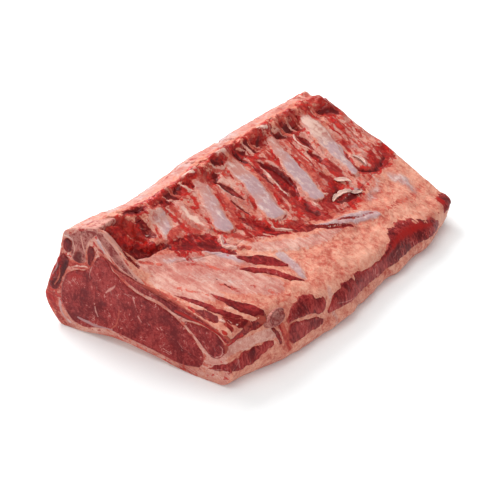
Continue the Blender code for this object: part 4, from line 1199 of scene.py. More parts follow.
    def last_bone(self) -> Grid:
        """Shapes the bone that the rear cut goes through."""
        shape = self.shape
        start, end = 175.0, shape.back_y + 0.3
        y = np.linspace(start, end, 40)[:, None] * np.ones(44)
        x = np.linspace(-93.0, -56.0, 44)[None, :] * np.ones((40, 1))
        edge = np.minimum(np.minimum(y - start, -56.0 - x), end - 1.0 - y + 2.0)
        flat = np.minimum(y, shape.back_y)
        tissues, rise = self.side.paint(x, flat, np.ones(x.shape))
        plate = self.crest_proud * soft_step(edge, 0.0, 2.0) - 1.5 * (1.0 - soft_step(edge, 0.0, 1.2))
        z = shape.top(x, flat) + rise + plate
        z = z - 3.5 * soft_step(-x, 84.0, 93.0) - 0.4 - 2.2 * np.clip(y - (shape.back_y - 1.4), 0.0, 2.0)
        tissues["bone"] = soft_step(edge, 0.5, 3.0) * 0.8
        return Grid("vertebra_6_bone", np.stack([x, y, z], -1), tissues, inward=BELOW)


# ------------------------------------------------------------ cut muscles


@dataclass(frozen=True)
class CutPiece:
    """A muscle or bone that shows as a face on a cut of the loin."""

    name: str
    front: Path2
    spine: Path2
    rear: Path2 | None = None
    depth: float = 14.0
    proud: float = 0.8
    fall: float = 2.4
    marks: tuple[Mark, ...] = ()
    ragged: float = 0.8
    lumpy: float = 0.35
    wall: Tissue | None = None
    drawn_in: float = 0.0


EYE_FRONT_MARKS = (
    pale_mark(((-59, 82), (-61.5, 74), (-62, 66)), (0.9, 0.8, 0.5), 0.85, 1, rise=-0.5),
    dark_mark(((-55, 88), (-50, 92), (-43, 91)), (1.4, 1.6, 1.2), 0.7, 1.4, rise=-0.6),
    blood_mark(((-86, 62), (-74, 66), (-64, 68)), (4, 5, 3), 0.5, 4),
    pale_mark(((-43, 58), (-38, 63), (-32, 70)), (1, 1.5, 0.6), 0.95, 1, rise=0.2),
    pale_mark(((-38, 63), (-36, 57)), (1.1, 0.5), 0.9, 1, rise=0.2),
    pale_mark(((-54, 62), (-54, 57)), (0.5, 0.4), 0.85, 0.8, rise=0.1),
    pale_mark(((-57.5, 41), (-56, 33), (-54, 27)), (0.6, 1.1, 0.8), 0.95, 0.9, rise=0.2),
    pale_mark(((-12.5, 64), (-10.5, 56), (-8, 49)), (1.1, 0.7, 0.5), 0.85, 1, rise=0.2),
    pale_mark(((-7, 44), (-3, 39)), (1.3, 0.8), 0.85, 1.2, rise=0.2),
    pale_mark(((-30.5, 60), (-28, 52)), (0.6, 0.4), 0.75, 0.9, rise=0.1),
    edge_mark(((-29, 44), (-29.5, 36), (-32, 27), (-38, 18)), (0.5, 0.6, 0.7, 0.8), 0.9, 0.8, rise=-0.3),
    silver_mark(((-78, 17), (-66, 15.5), (-52, 14.5), (-37, 17)), (1.2, 1.9, 1.6, 0.8), 1, 1.1),
    silver_mark(((-70, 22), (-60, 20)), (0.6, 0.4), 0.7, 1),
    pale_mark(((37, 33), (42, 27)), (0.5, 0.6), 0.8, 0.8, rise=0.1),
    pale_mark(((9, 47), (13, 43)), (0.5,), 0.8, 0.8, rise=0.1),
    pale_mark(((20, 40), (25, 37)), (0.4, 0.5), 0.75, 0.8, rise=0.1),
    dark_mark(((-96, 36), (-95, 50), (-88, 60)), (4, 6, 4), 0.55, 5),
    dark_mark(((-60, 30), (-44, 26)), (8, 6), 0.5, 6),
    lean_mark(((-50, 92), (-46, 80)), (7, 5), 0.6, 4),
)
ILIO_MARKS = (
    pale_mark(
        ((79, 46), (83.5, 44), (84, 37), (78, 31), (71, 31)), (0.4, 0.7, 0.8, 0.6), 0.95, 0.8, rise=0.2,
    ),
    pale_mark(((65, 46), (67, 38), (71, 33)), (0.4, 0.6, 0.4), 0.85, 0.8, rise=0.2),
    silver_mark(((74, 44), (77, 38)), (0.6, 0.4), 0.7, 0.9, rise=0.1),
    dark_mark(((72, 42), (77, 37)), (3.5, 3), 0.6, 3),
    dark_mark(((56, 53), (68, 54)), (2.5,), 0.5, 3),
)
SLAB_MARKS = (
    blood_mark(
        ((34, 65), (50, 63.5), (64, 61), (78, 57), (88, 50)), (1.5, 1.4, 1.4, 1.4, 1), 1, 1.2, rise=0.2,
    ),
    pale_mark(((-12, 80), (2, 76), (18, 73)), (0.5, 0.6, 0.4), 0.8, 0.7, rise=0.2),
    pale_mark(((36, 69), (50, 66), (62, 63)), (0.5, 0.5, 0.4), 0.7, 0.7, rise=0.2),
    edge_mark(((-38, 88), (-20, 83), (6, 78), (34, 71)), (0.8, 0.9, 0.8, 0.6), 0.7, 1, rise=0.2),
    dark_mark(((20, 70), (34, 66)), (2,), 0.5),
)
CUT_PIECES = (
    CutPiece(
        "eye_muscle",
        (
            (-99, 33), (-98, 42), (-95, 54), (-89, 64), (-79, 71), (-67, 75), (-60, 80), (-55, 89),
            (-51, 95), (-46, 97), (-40, 92), (-36, 86), (-29, 80.5), (-18, 73.5), (-2, 68), (16, 65.5),
            (34, 58), (43, 52), (51, 45), (58, 37), (64, 29), (65.5, 21), (61, 12.5), (51, 9), (38, 6.5),
            (22, 7), (4, 9), (-11, 11), (-29, 13), (-40, 14), (-54, 11.5), (-70, 7.5), (-83, 9), (-92, 16),
            (-97, 25),
        ),
        ((-78, 40), (40, 30)),
        (
            (-98, 30), (-92, 51), (-79, 64), (-62, 69), (-49, 71), (-38, 71), (-14, 61), (30, 44), (64, 28),
            (63, 11), (18, 8), (-38, 8), (-82, 10),
        ),
        marks=EYE_FRONT_MARKS, proud=0.9, fall=2.6,
    ),
    CutPiece(
        "multifidus",
        (
            (-103, 40), (-109, 40), (-112, 45), (-108, 57), (-103, 70), (-98, 80), (-93, 84.5), (-87, 82),
            (-85.5, 75), (-90, 67), (-94, 57), (-98, 48),
        ),
        ((-105, 47), (-92, 77)),
        (
            (-104, 40), (-109, 42), (-106, 52), (-101, 63), (-96, 75), (-90, 79), (-86, 77), (-87, 71),
            (-92, 61), (-97, 51),
        ),
        proud=0.7, fall=1.6, ragged=1.6,
        marks=(
            dark_mark(((-102, 48), (-95, 62), (-90, 76)), (3, 3.5, 3.5), 0.75, 3, rise=-0.5),
            silver_mark(((-106, 58), (-101, 66), (-99, 76)), (0.6, 0.9, 0.5), 0.9, 0.9, rise=0.4),
            edge_mark(((-105, 46), (-100, 54), (-97, 66)), (0.7, 0.9, 0.6), 0.9, 1, rise=0.4),
            blood_mark(((-109, 50), (-104, 64), (-97, 78)), (1.5, 1.8, 1.5), 0.9, 1.6, rise=0.5),
            pale_mark(((-108, 52), (-99, 56)), (0.5, 0.4), 0.8, 0.7, rise=0.3),
            pale_mark(((-104, 63), (-95, 64)), (0.5, 0.4), 0.7, 0.7, rise=0.3),
            blood_mark(((-101, 60), (-96, 70)), (1,), 0.8, 1.2, rise=0.6),
        ),
        lumpy=1, drawn_in=8,
    ),
    CutPiece(
        "iliocostalis",
        (
            (43, 56.5), (54, 59), (68, 59), (79, 55), (86, 48), (87.5, 40), (82, 31), (73, 28), (66, 33.5),
            (58, 41), (50, 48.5),
        ),
        ((56, 52), (76, 40)), ((73, 27), (77, 32), (83, 32), (89, 27), (89, 18), (82, 16), (76, 19)),
        proud=0.9, fall=1.8, marks=ILIO_MARKS,
    ),
    CutPiece(
        "ring_muscle",
        (
            (-92.5, 94), (-91.5, 100), (-86.5, 103.5), (-81.5, 101.5), (-80.5, 95), (-83, 89),
            (-87.5, 86.5), (-91.5, 89),
        ),
        ((-87, 92), (-86, 98)), proud=0.8, fall=1.4, depth=30, ragged=0.4,
        marks=(dark_mark(((-85, 91), (-85, 95)), (2.5,), 0.55),),
    ),
    CutPiece(
        "round_muscle",
        (
            (-64.5, 88), (-64, 98), (-61, 103), (-57, 103), (-54.5, 99), (-55, 93), (-58, 86), (-61.5, 80),
            (-64, 82),
        ),
        ((-62, 85), (-59, 97)), proud=0.8, fall=1.4, depth=38, ragged=0.4,
        marks=(dark_mark(((-62, 84), (-61.5, 92)), (2.5,), 0.6),),
    ),
    CutPiece(
        "intercostal_muscle",
        (
            (-42, 95), (-34, 91.5), (-25, 86.5), (-12, 84.5), (2, 80.5), (16, 77.5), (34, 73.5), (50, 69.5),
            (62, 66), (76, 61), (86, 56), (91, 51), (88, 49.5), (81, 54), (71, 58.5), (59, 60.5),
            (44, 59.5), (34, 61), (16, 68), (-2, 70.5), (-18, 76), (-29, 83), (-36, 88.5),
        ),
        ((-34, 89), (84, 55)), proud=0.7, fall=1.3, depth=5, marks=SLAB_MARKS, ragged=0.9,
    ),
)
BONE_FACES = (
    CutPiece(
        "vertebra_0",
        (
            (-86, 106), (-81, 111), (-76, 115.5), (-66, 120.5), (-56, 123.5), (-51, 124), (-50.5, 119),
            (-55, 113), (-62, 105.5), (-65.5, 97), (-66, 89), (-66.5, 82), (-73, 78.5), (-80, 78.5),
            (-83, 84), (-79.5, 93), (-79.5, 102),
        ),
        ((-79, 107), (-58, 117)), proud=0.9, fall=1.6, depth=28, ragged=0.7, lumpy=0.6, wall=Tissue.CREAM,
        marks=(
            dark_mark(((-76, 82), (-73, 90)), (5, 3.5), 0.95, 3.5, rise=-0.6),
            blood_mark(((-78, 84), (-74, 96), (-72, 104)), (3, 2.5, 1), 0.75, 3),
            pale_mark(
                ((-70, 111), (-67.5, 100), (-65.5, 92), (-67, 82)), (0.5, 0.8, 0.8, 0.6), 0.95, 0.8,
                rise=0.5,
            ),
            pale_mark(((-80, 104), (-78, 94), (-81, 85)), (0.6, 0.7, 0.5), 0.8, 0.8, rise=0.4),
            dark_mark(((-74, 106), (-72, 98)), (2,), 0.55, 3),
            cream_mark(((-82, 109), (-70, 117), (-55, 122)), (1.2, 1.6, 1.4), 0.85, 1.6, rise=0.3),
        ),
    ),
    CutPiece(
        "last_rib",
        (
            (-53, 118), (-49, 122), (-43, 121), (-37, 116), (-30, 109), (-24.5, 102), (-19, 96),
            (-13, 90.5), (-5, 85), (-1, 81.5), (-7, 82), (-14, 84.5), (-23, 87), (-30, 91), (-36, 96.5),
            (-42, 103), (-48, 110),
        ),
        ((-45, 115), (-12, 87)), proud=1, fall=1.6, depth=5, ragged=0.7, lumpy=0.5, wall=Tissue.BLOOD,
        marks=(
            dark_mark(
                ((-46, 114), (-37, 105), (-29, 98), (-22, 93), (-13, 88)), (1.6, 2.2, 2.4, 2.2, 1.2), 0.6,
                3,
            ),
            pale_mark(
                ((-51, 115), (-42, 104.5), (-33, 95), (-23, 88.5), (-12, 85)), (0.7,), 0.85, 0.9, rise=0.3,
            ),
            pale_mark(
                ((-44, 120), (-36, 114), (-29, 107), (-20, 96.5), (-12, 89), (-4, 84)), (0.7,), 0.85, 0.9,
                rise=0.3,
            ),
        ),
    ),
)


@dataclass
class CutFaces:
    """Builds the muscles and bones that show on the cuts."""

    shape: LoinShape
    grain: Grain
    rings: int = 38
    spacing: float = 1.0
    tucks: Path2 = (
        (0.008, 0), (0.05, 1.5), (0.12, 4), (0.35, 5), (0.65, 5), (0.88, 4), (0.95, 1.5), (0.992, 0),
    )

    def _rim(self, outline: Path2, count: int, ragged: float, seed: float) -> Array:
        """Smooth outline with a slightly torn edge."""
        curve = spaced(through(np.array(outline, float), [10] * len(outline), True), count, True)
        p = np.concatenate([curve, np.full((count, 1), seed)], 1)
        centre = curve.mean(0)
        away = curve - centre
        away /= np.linalg.norm(away, axis=1)[:, None]
        curve = curve + away * (ragged * self.grain.layers(p, 5.0, 3, 0.6))[:, None]
        return np.concatenate([curve, curve[:1]])

    def _face(self, rim: Array, spine: Path2, rings: int) -> tuple[Array, Array]:
        """Rings from the spine of a face out to its rim, and the distance of each from the rim."""
        a, b = np.array(spine[0], float), np.array(spine[1], float)
        run = b - a
        t = unit(((rim - a) @ run) / (run @ run))
        base = a + t[:, None] * run
        steps = np.linspace(0.02, 1.0, rings)
        plan = base + (rim - base) * steps[:, None, None]
        edge = np.linalg.norm(rim - base, axis=1) * (1.0 - steps[:, None])
        return plan, edge

    def _height(self, piece: CutPiece, lump: Array, edge: Array) -> Array:
        """Height of a face over its cut: proud inside and dipping at the rim."""
        dip = 0.5 * (1 - soft_step(edge, 0.0, 0.8))
        return (piece.proud + lump) * soft_step(edge, 0.0, piece.fall) - dip

    def _front(
        self, piece: CutPiece, plan: Array, edge: Array, seed: float,
    ) -> tuple[Array, dict[str, Array]]:
        """Front face with its marks, and the tissues on it.

        Args:
            piece: Sizes of the piece.
            plan: Points of the face, as x and z.
            edge: Distance of each point from the rim.
            seed: Offset that gives the piece its own noise.

        Returns:
            Points of the face, and its tissue amounts.
        """
        x, z = plan[..., 0], plan[..., 1]
        tissues = no_tissues(x.shape)
        rise = np.zeros(x.shape)
        p = np.stack([x, np.full(x.shape, seed), z], -1)
        wander = 0.7 * self.grain.layers(p, 4.0, 2)
        lay_all(piece.marks, x + wander, z - wander, np.ones(x.shape), tissues, rise)
        lump = piece.lumpy * self.grain.layers(p + 3.0, 9.0, 3) + 0.12 * self.grain.layers(p + 7.0, 1.8, 2)
        tissues["rim"] = 1.0 - soft_step(edge, 0.3, 2.2)
        y = self.shape.cut_y(x, z) - self._height(piece, rise + lump, edge)
        return np.stack([x, y, z], -1), tissues

    def _run(self, piece: CutPiece, rim: Array, rear: Array) -> list[Array]:
        """Rings between the cuts, tucked in under the fat.

        Args:
            piece: Sizes of the piece.
            rim: Outline at the front cut.
            rear: Outline at the rear cut.

        Returns:
            One ring of points for each tuck.
        """
        rings = []
        for share, tuck in self.tucks:
            ring = rim * (1 - share) + rear * share
            inward = ring.mean(0) - ring
            ring = ring + inward * (tuck / np.linalg.norm(inward, axis=1))[:, None]
            x, z = ring[:, 0] + piece.drawn_in * tuck / 5.0, ring[:, 1]
            rings.append(np.stack([x, self.shape.along(x, z, share), z], -1)[None])
        return rings

    def _rear(self, piece: CutPiece, rear: Array, rings: int, seed: float) -> tuple[Array, Array]:
        """Rear face from its rim in to its spine, and how far each point belongs to the rim.

        Args:
            piece: Sizes of the piece.
            rear: Outline at the rear cut.
            rings: Number of rings.
            seed: Offset that gives the piece its own noise.

        Returns:
            Points of the face, and the rim amount at each.
        """
        low, high = rear.min(0), rear.max(0)
        size, middle = high - low, rear.mean(0)
        if size[0] > size[1]:
            near, far = low[0] * 0.78 + high[0] * 0.22, low[0] * 0.2 + high[0] * 0.8
            spine = ((near, middle[1]), (far, middle[1] - 6.0 * (size[0] > 60)))
        else:
            foot, head = low[1] * 0.8 + high[1] * 0.2, low[1] * 0.2 + high[1] * 0.8
            spine = ((middle[0] - 4.0, foot), (middle[0] + 4.0, head))
        plan, edge = self._face(rear, spine, rings)
        plan, edge = plan[::-1], edge[::-1]
        x, z = plan[..., 0], plan[..., 1]
        p = np.stack([x, np.full(x.shape, seed + 99.0), z], -1)
        out = self._height(piece, piece.lumpy * self.grain.layers(p, 9.0, 3), edge)
        return np.stack([x, self.shape.back_y + out, z], -1), 1.0 - soft_step(edge, 0.3, 2.2)

    def build(self, piece: CutPiece) -> Grid:
        """Shapes one piece from its front face inwards, and on to its rear face if it has one.

        Args:
            piece: Sizes of the piece.

        Returns:
            The closed piece with its tissues.
        """
        outline = np.array(piece.front, float)
        around = np.linalg.norm(np.roll(outline, -1, axis=0) - outline, axis=1).sum()
        count = int(np.clip(around / self.spacing, 60, 420))
        seed = float(len(piece.name)) * 13.0
        rim = self._rim(piece.front, count, piece.ragged, seed)
        reach = np.linalg.norm(rim.mean(0) - rim, axis=1).min()
        rings = int(np.clip(reach * 1.3, 10, self.rings))
        front, tissues = self._front(piece, *self._face(rim, piece.spine, rings), seed)
        sheets = [front]
        if piece.rear is None:
            middle = rim.mean(0)
            for share, back in ((1.0, 3.0), (0.96, piece.depth * 0.6), (0.8, piece.depth)):
                x, z = (middle + (rim - middle) * share).T
                sheets.append(np.stack([x, self.shape.cut_y(x, z) + back, z], -1)[None])
        else:
            rear = self._rim(piece.rear, count, piece.ragged * 0.8, seed + 50.0)
            face, rear_rim = self._rear(piece, rear, rings, seed)
            sheets += [*self._run(piece, rim, rear), face]
        points = np.concatenate(sheets)
        full = no_tissues(points.shape[:2])
        full["rim"] = np.ones(points.shape[:2])
        if piece.wall is not None:
            full[piece.wall.value][len(front):] = 1.0
        for key in full:
            full[key][: len(front)] = tissues[key]
        if piece.rear is not None:
            full["rim"][-len(rear_rim):] = rear_rim
        return Grid(piece.name + "_solid", points, full, Closing.TUBE)


# ------------------------------------------------------------ side pieces


class Side(Enum):
    """The two long sides of the loin."""

    FLANK = 1.0
    BACKBONE = -1.0


@dataclass(frozen=True)
class SidePiece:
    """A muscle that shows on a long side, as rows of along, lowest and highest."""

    name: str
    rows: tuple[tuple[float, float, float], ...]
    side: Side = Side.FLANK
    proud: float = 0.9
    fall: float = 2.2
    ragged: float = 1.6
    depth: float = 9.0
    marks: tuple[Mark, ...] = ()


SIDE_PIECES = (
    SidePiece(
        "flank_muscle_front",
        (
            (-214, 12.5, 15), (-207, 14, 20), (-198, 16.5, 26), (-190, 18.5, 29.5), (-181, 17, 30),
            (-174, 16.5, 32.5), (-166, 17, 34.5), (-157, 20.5, 35), (-148, 25, 34.5), (-140, 29, 32.5),
        ),
        proud=0.7, ragged=2.6,
        marks=(
            pale_mark(((-205, 16), (-196, 20)), (0.5, 0.6), 0.8, 0.8),
            pale_mark(((-186, 20), (-178, 28)), (0.8, 0.5), 0.8, 0.9),
            pale_mark(((-168, 19), (-162, 31)), (0.6, 0.5), 0.75, 0.8),
        ),
    ),
    SidePiece(
        "flank_muscle_middle_low",
        (
            (-124, 25, 29), (-119, 18, 37), (-112, 13, 38), (-104, 9, 36), (-94, 8, 33.5), (-84, 9, 30),
            (-77, 16, 26), (-74, 20, 23),
        ),
        proud=1,
        marks=(
            pale_mark(((-101, 10), (-101, 35)), (0.4, 0.7, 0.4), 0.62, 1),
            pale_mark(((-110, 14), (-109, 36)), (0.5,), 0.62, 1),
            pale_mark(((-90, 10), (-89, 30)), (0.5,), 0.6, 1),
        ),
    ),
    SidePiece(
        "flank_muscle_middle_high",
        (
            (-120, 38.8, 43), (-112, 39.6, 49), (-104, 37.6, 51.5), (-94, 35.3, 52), (-84, 31.6, 51.5),
            (-76, 28, 49), (-70, 31, 46), (-65, 37, 42),
        ),
        proud=1,
        marks=(
            pale_mark(((-93, 38), (-92, 52)), (0.8, 0.5), 0.7, 1),
            pale_mark(((-82, 34), (-84, 48)), (0.5,), 0.62, 1),
        ),
    ),
    SidePiece(
        "flank_muscle_rear",
        (
            (-68, 25, 28), (-62, 24, 33), (-54, 22, 39.5), (-43, 21, 43), (-29, 20, 41), (-14, 20, 41),
            (2, 19, 37.5), (16, 17, 36), (30, 15, 33.5), (40, 15.5, 34), (52, 16, 37.5), (67, 16.5, 41.5),
            (84, 18, 42.5), (99, 19.5, 42), (118, 19.5, 40.5), (134, 18.5, 37.5), (151, 17.5, 33),
            (161, 20, 26),
        ),
        proud=1.1, ragged=2,
        marks=(
            blood_mark(
                ((42, 31), (56, 34), (74, 36), (96, 35), (118, 34), (144, 29)), (2, 4, 4.5, 4.5, 4, 2), 0.7,
                4, rise=0.3,
            ),
            pale_mark(((-54, 30), (-38, 25), (-24, 22)), (0.6, 0.7, 0.4), 0.9, 0.9),
            pale_mark(((-22, 24), (-18, 32)), (0.5, 0.4), 0.7, 0.9),
            pale_mark(((54, 26), (70, 30), (84, 25)), (0.5, 0.6, 0.4), 0.75, 0.9),
            pale_mark(((0, 24), (18, 23)), (0.5, 0.4), 0.65, 0.9),
        ),
    ),
    SidePiece(
        "flank_muscle_corner",
        (
            (165, 30, 33), (172, 28, 36.5), (182, 26, 38), (194, 26, 37), (206, 26, 36), (222, 24, 32),
            (230, 24, 27),
        ),
        proud=0.9, marks=(blood_mark(((174, 34), (190, 35)), (2, 2.4), 0.95, rise=0.2),),
    ),
    SidePiece(
        "multifidus_side",
        (
            (-186, 50, 66), (-172, 44, 73), (-150, 47, 68), (-126, 43, 74), (-98, 49, 67), (-70, 44, 73),
            (-40, 50, 66), (-10, 44, 74), (22, 50, 67), (50, 44, 72), (80, 50, 66), (110, 44, 73),
            (140, 49, 67), (168, 45, 72), (188, 48, 68), (200, 52, 62),
        ),
        Side.BACKBONE, proud=1.2, ragged=4,
        marks=(
            pale_mark(((-150, 52), (-104, 60), (-60, 57)), (0.5, 1, 0.5), 0.8, 1.2),
            silver_mark(((-98, 50), (-94, 60), (-88, 70)), (1, 2, 1.2), 0.9),
            silver_mark(((-38, 50), (-34, 58), (-28, 66)), (1, 2.2, 1.2), 0.9),
            edge_mark(((22, 50), (28, 58), (32, 66)), (1.2, 2.4, 1.4), 0.8),
            silver_mark(((82, 50), (88, 58), (94, 66)), (1, 2.2, 1.2), 0.9),
            pale_mark(((-20, 66), (20, 62), (70, 64)), (0.6, 1, 0.5), 0.8, 1.2),
            blood_mark(((96, 60), (130, 62), (160, 58)), (2, 4, 2), 0.5, 4),
        ),
    ),
)


@dataclass
class SideMuscles:
    """Muscles that show along the flank and the backbone side."""

    shape: LoinShape
    grain: Grain
    spacing: float = 0.95
    corner_round: float = 3.0
    tables: dict[Side, SideTable] = field(default_factory=dict)

    def __post_init__(self) -> None:
        """Tabulates the two sides."""
        heights = np.linspace(0.0, 116.0, 59)
        self.tables[Side.FLANK] = SideTable(self.shape.flank, heights)
        self.tables[Side.BACKBONE] = SideTable(self.shape.backbone, heights)

    def _place(self, side: Side, p: Array, z: Array) -> tuple[Array, Array]:
        """Point and outward direction on a side, carried round its two corners.

        Args:
            side: Which side.
            p: Place along; past a cut it runs across the cut instead.
            z: Height.

        Returns:
            Points and unit directions.
        """
        shape, table = self.shape, self.tables[side]
        sign = side.value
        x_front = table.x(np.zeros(p.shape), z)
        corner = shape.cut_y(x_front, z)
        y = np.clip(p, corner, shape.back_y)
        x = x_front
        for _ in range(2):
            x = table.x(shape.share_at(x, y, z), z)
        past_front = np.maximum(corner - p, 0.0)
        past_rear = np.maximum(p - shape.back_y, 0.0)
        x = x - sign * (past_front + past_rear)
        y = np.where(past_front > 0, shape.cut_y(x, z), y)
        turn = soft_step(past_front, 0.0, self.corner_round) - soft_step(past_rear, 0.0, self.corner_round)
        share = shape.share_at(x_front, y, z)
        lean = table.x(share, z + 2.0) - table.x(share, z - 2.0)
        facing = 1.0 - np.abs(turn)
        direction = np.stack([sign * facing, -turn, -sign * lean / 4.0 * facing], -1)
        direction /= np.linalg.norm(direction, axis=-1)[..., None]
        return np.stack([x, y, z], -1), direction

    def build(self, piece: SidePiece) -> Grid:
        """Shapes one side muscle as a low mound whose rim dips under the fat.

        Args:
            piece: Sizes of the muscle.

        Returns:
            The muscle's surface with its tissues.
        """
        rows = np.array(piece.rows, float)
        along = rows[:, 0]
        length = along[-1] - along[0]
        cols = int(length / self.spacing)
        p = np.linspace(along[0], along[-1], cols)
        low, high = eased(p, along, rows[:, 1]), eased(p, along, rows[:, 2])
        count = int(max((high - low).max() / self.spacing, 10))
        t = np.linspace(0.0, 1.0, count)
        z = low[:, None] + (high - low)[:, None] * t
        pp = p[:, None] * np.ones(count)
        q = in_plan(pp, z)
        shift = piece.ragged * self.grain.layers(q, 5.5, 3, 0.6)
        edge = np.minimum(z - low[:, None], high[:, None] - z)
        edge = np.minimum(edge, np.minimum(pp - along[0], along[-1] - pp)) + shift
        base, direction = self._place(piece.side, pp, z)
        tissues = no_tissues(z.shape)
        rise = np.zeros(z.shape)
        wander = 0.8 * self.grain.layers(q + 5.0, 5.0, 2)
        lay_all(piece.marks, pp + wander, z - wander, np.ones(z.shape), tissues, rise)
        fibres = self.grain.layers(q * np.array([1.0, 0.3, 1.0]), 2.2, 2)
        lump = 0.5 * self.grain.layers(q + 9.0, 12.0, 2) + 0.25 * fibres
        out = (piece.proud + lump + rise) * soft_step(edge, 0.0, piece.fall)
        out -= 1.6 * (1.0 - soft_step(edge, -0.5, 1.0))
        tissues["rim"] = 1.0 - soft_step(edge, 0.3, 2.4)
        points = base + direction * out[..., None]
        points[..., 2] = np.maximum(points[..., 2], 0.3)
        inward = -direction.mean((0, 1))
        return Grid(piece.name + "_face", points, tissues, inward=tuple(inward * piece.depth))


@dataclass(frozen=True)
class Strip:
    """A thin muscle strip that lies in the fat of the bone side."""

    name: str
    path: Path2
    half: tuple[float, ...]


STRIPS = (
    Strip(
        "belly_strip_high", ((32, -98), (42, -88), (54, -75), (64, -67), (72, -62)),
        (1.2, 6, 7.6, 6.2, 1.8),
    ),
    Strip(
        "belly_strip_low", ((44, -110), (56, -98), (68, -85), (80, -80), (95, -68)), (1, 4.4, 5, 4.6, 1.4),
    ),
    Strip(
        "rib_strip_high", ((46, -161.5), (62, -158), (74, -153.5), (87, -146), (97, -138.5)),
        (0.6, 3, 5.4, 6.6, 3.4),
    ),
    Strip(
        "rib_strip_low", ((26, -186), (42, -180.5), (55, -176.5), (67, -172.5), (77, -166), (87, -158)),
        (0.6, 2.6, 3.4, 3.4, 3.4, 1.6),
    ),
)


@dataclass
class SurfaceStrips:
    """Muscle strips lying flush in the fat of the bone side."""

    shape: LoinShape
    side: BoneSide
    proud: float = 0.9

    def build(self, strip: Strip) -> Grid:
        """Shapes one strip as a low mound along its path.

        Args:
            strip: Path and widths of the strip.

        Returns:
            The strip's surface with its tissues.
        """
        grain = self.side.grain
        curve = through(np.array(strip.path, float), [12] * (len(strip.path) - 1), False)
        length = np.linalg.norm(np.diff(curve, axis=0), axis=1).sum()
        rows = int(length / 0.8)
        line = spaced(curve, rows, False)
        step = np.linspace(0.0, 1.0, rows)
        half = eased(step, np.linspace(0.0, 1.0, len(strip.half)), strip.half) + 1.6
        t = np.linspace(-1.0, 1.0, 20)
        plan = spread(line, sideways(line), half[:, None] * t)
        x, y = plan[..., 0], plan[..., 1]
        q = in_plan(x, y)
        edge = half[:, None] * (1.0 - np.abs(t)) - 1.6 + 1.5 * grain.layers(q, 5.0, 3, 0.6)
        edge = np.minimum(edge, np.minimum(step, 1.0 - step)[:, None] * length - 1.0)
        _, rise = self.side.paint(x, y, np.ones(x.shape))
        out = self.proud * soft_step(edge, 0.0, 2.0) - 1.6 * (1.0 - soft_step(edge, -0.6, 0.8))
        z = self.shape.top(x, y) + rise + (out + 0.2 * grain.layers(q, 3.0, 2))
        tissues = no_tissues(x.shape)
        tissues["rim"] = 1.0 - soft_step(edge, 0.2, 2.0)
        return Grid(strip.name + "_face", np.stack([x, y, z], -1), tissues, inward=(0.0, 0.0, -5.0))


@dataclass(frozen=True)
class Flap:
    """A torn scrap of membrane standing off the bone side."""

    name: str
    path: Path2
    half: tuple[float, ...]
    lift: tuple[float, ...]
    curl: float


FLAPS = (
    Flap(
        "torn_membrane_1", ((24, 96), (30, 99), (36, 104), (41, 105)), (1, 2.2, 2, 0.4),
        (0.3, 1.6, 2.6, 3.4), 1.2,
    ),
    Flap(
        "torn_membrane_2", ((42, 66), (41, 74), (43, 84), (48, 94)), (1.2, 2.6, 2.4, 0.8),
        (0.3, 1.8, 2.4, 2), 1.5,
    ),
    Flap(
        "torn_membrane_3", ((15, 150), (21, 152), (28, 152), (34, 149)), (0.6, 1.8, 2, 0.6),
        (0.6, 2, 2.4, 2), 1.2,
    ),
    Flap("torn_membrane_4", ((46, 92), (52, 98), (54, 108)), (0.8, 1.8, 0.6), (0.3, 1.6, 1), 1.2),
)


@dataclass
class TornMembranes:
    """Small torn scraps of membrane and sinew on the bone side."""

    shape: LoinShape
    side: BoneSide
    rows: int = 36
    columns: int = 12

    def build(self, flap: Flap) -> Grid:
        """Shapes one scrap as a thin curled sheet, painted paler where it rises and curls up as a painted
        highlight.

        Args:
            flap: Path, widths and lift of the scrap.

        Returns:
            The sheet with its tissues.
        """
        grain = self.side.grain
        smooth = through(np.array(flap.path, float), [8] * (len(flap.path) - 1), False)
        line = spaced(smooth, self.rows, False)
        step = np.linspace(0.0, 1.0, self.rows)
        half = eased(step, np.linspace(0, 1, len(flap.half)), flap.half)
        lift = eased(step, np.linspace(0, 1, len(flap.lift)), flap.lift)
        t = np.linspace(-1.0, 1.0, self.columns)
        along = line[:, None, :] * np.ones((1, self.columns, 1))
        across = t[None, :, None] * np.ones((self.rows, 1, 1)) * 3.0
        wave = grain.layers(np.concatenate([along, across], -1), 3.0, 2)
        plan = spread(line, sideways(line), half[:, None] * t * (1.0 + 0.35 * wave))
        x, y = plan[..., 0], plan[..., 1]
        _, rise = self.side.paint(x, y, np.ones(x.shape))
        z = self.shape.top(x, y) + rise + 0.8 + lift[:, None] + flap.curl * (t**2 - 0.5) + 0.4 * wave
        tissues = no_tissues(x.shape)
        tissues["silver"] = np.full(x.shape, 0.85)
        # Pale membrane colour, paler still on the raised waves and the curled-up sides: a painted highlight
        # along the curl over the membrane's own pale colour. The red edge tissue is strongest where the
        # sheet dips.
        tissues["pale"] = unit(0.46 + 0.5 * wave + 0.25 * t**2)
        tissues["edge"] = unit(0.30 - 0.6 * wave)
        return Grid(flap.name, np.stack([x, y, z], -1), tissues, inward=(0.0, 0.0, -0.7))


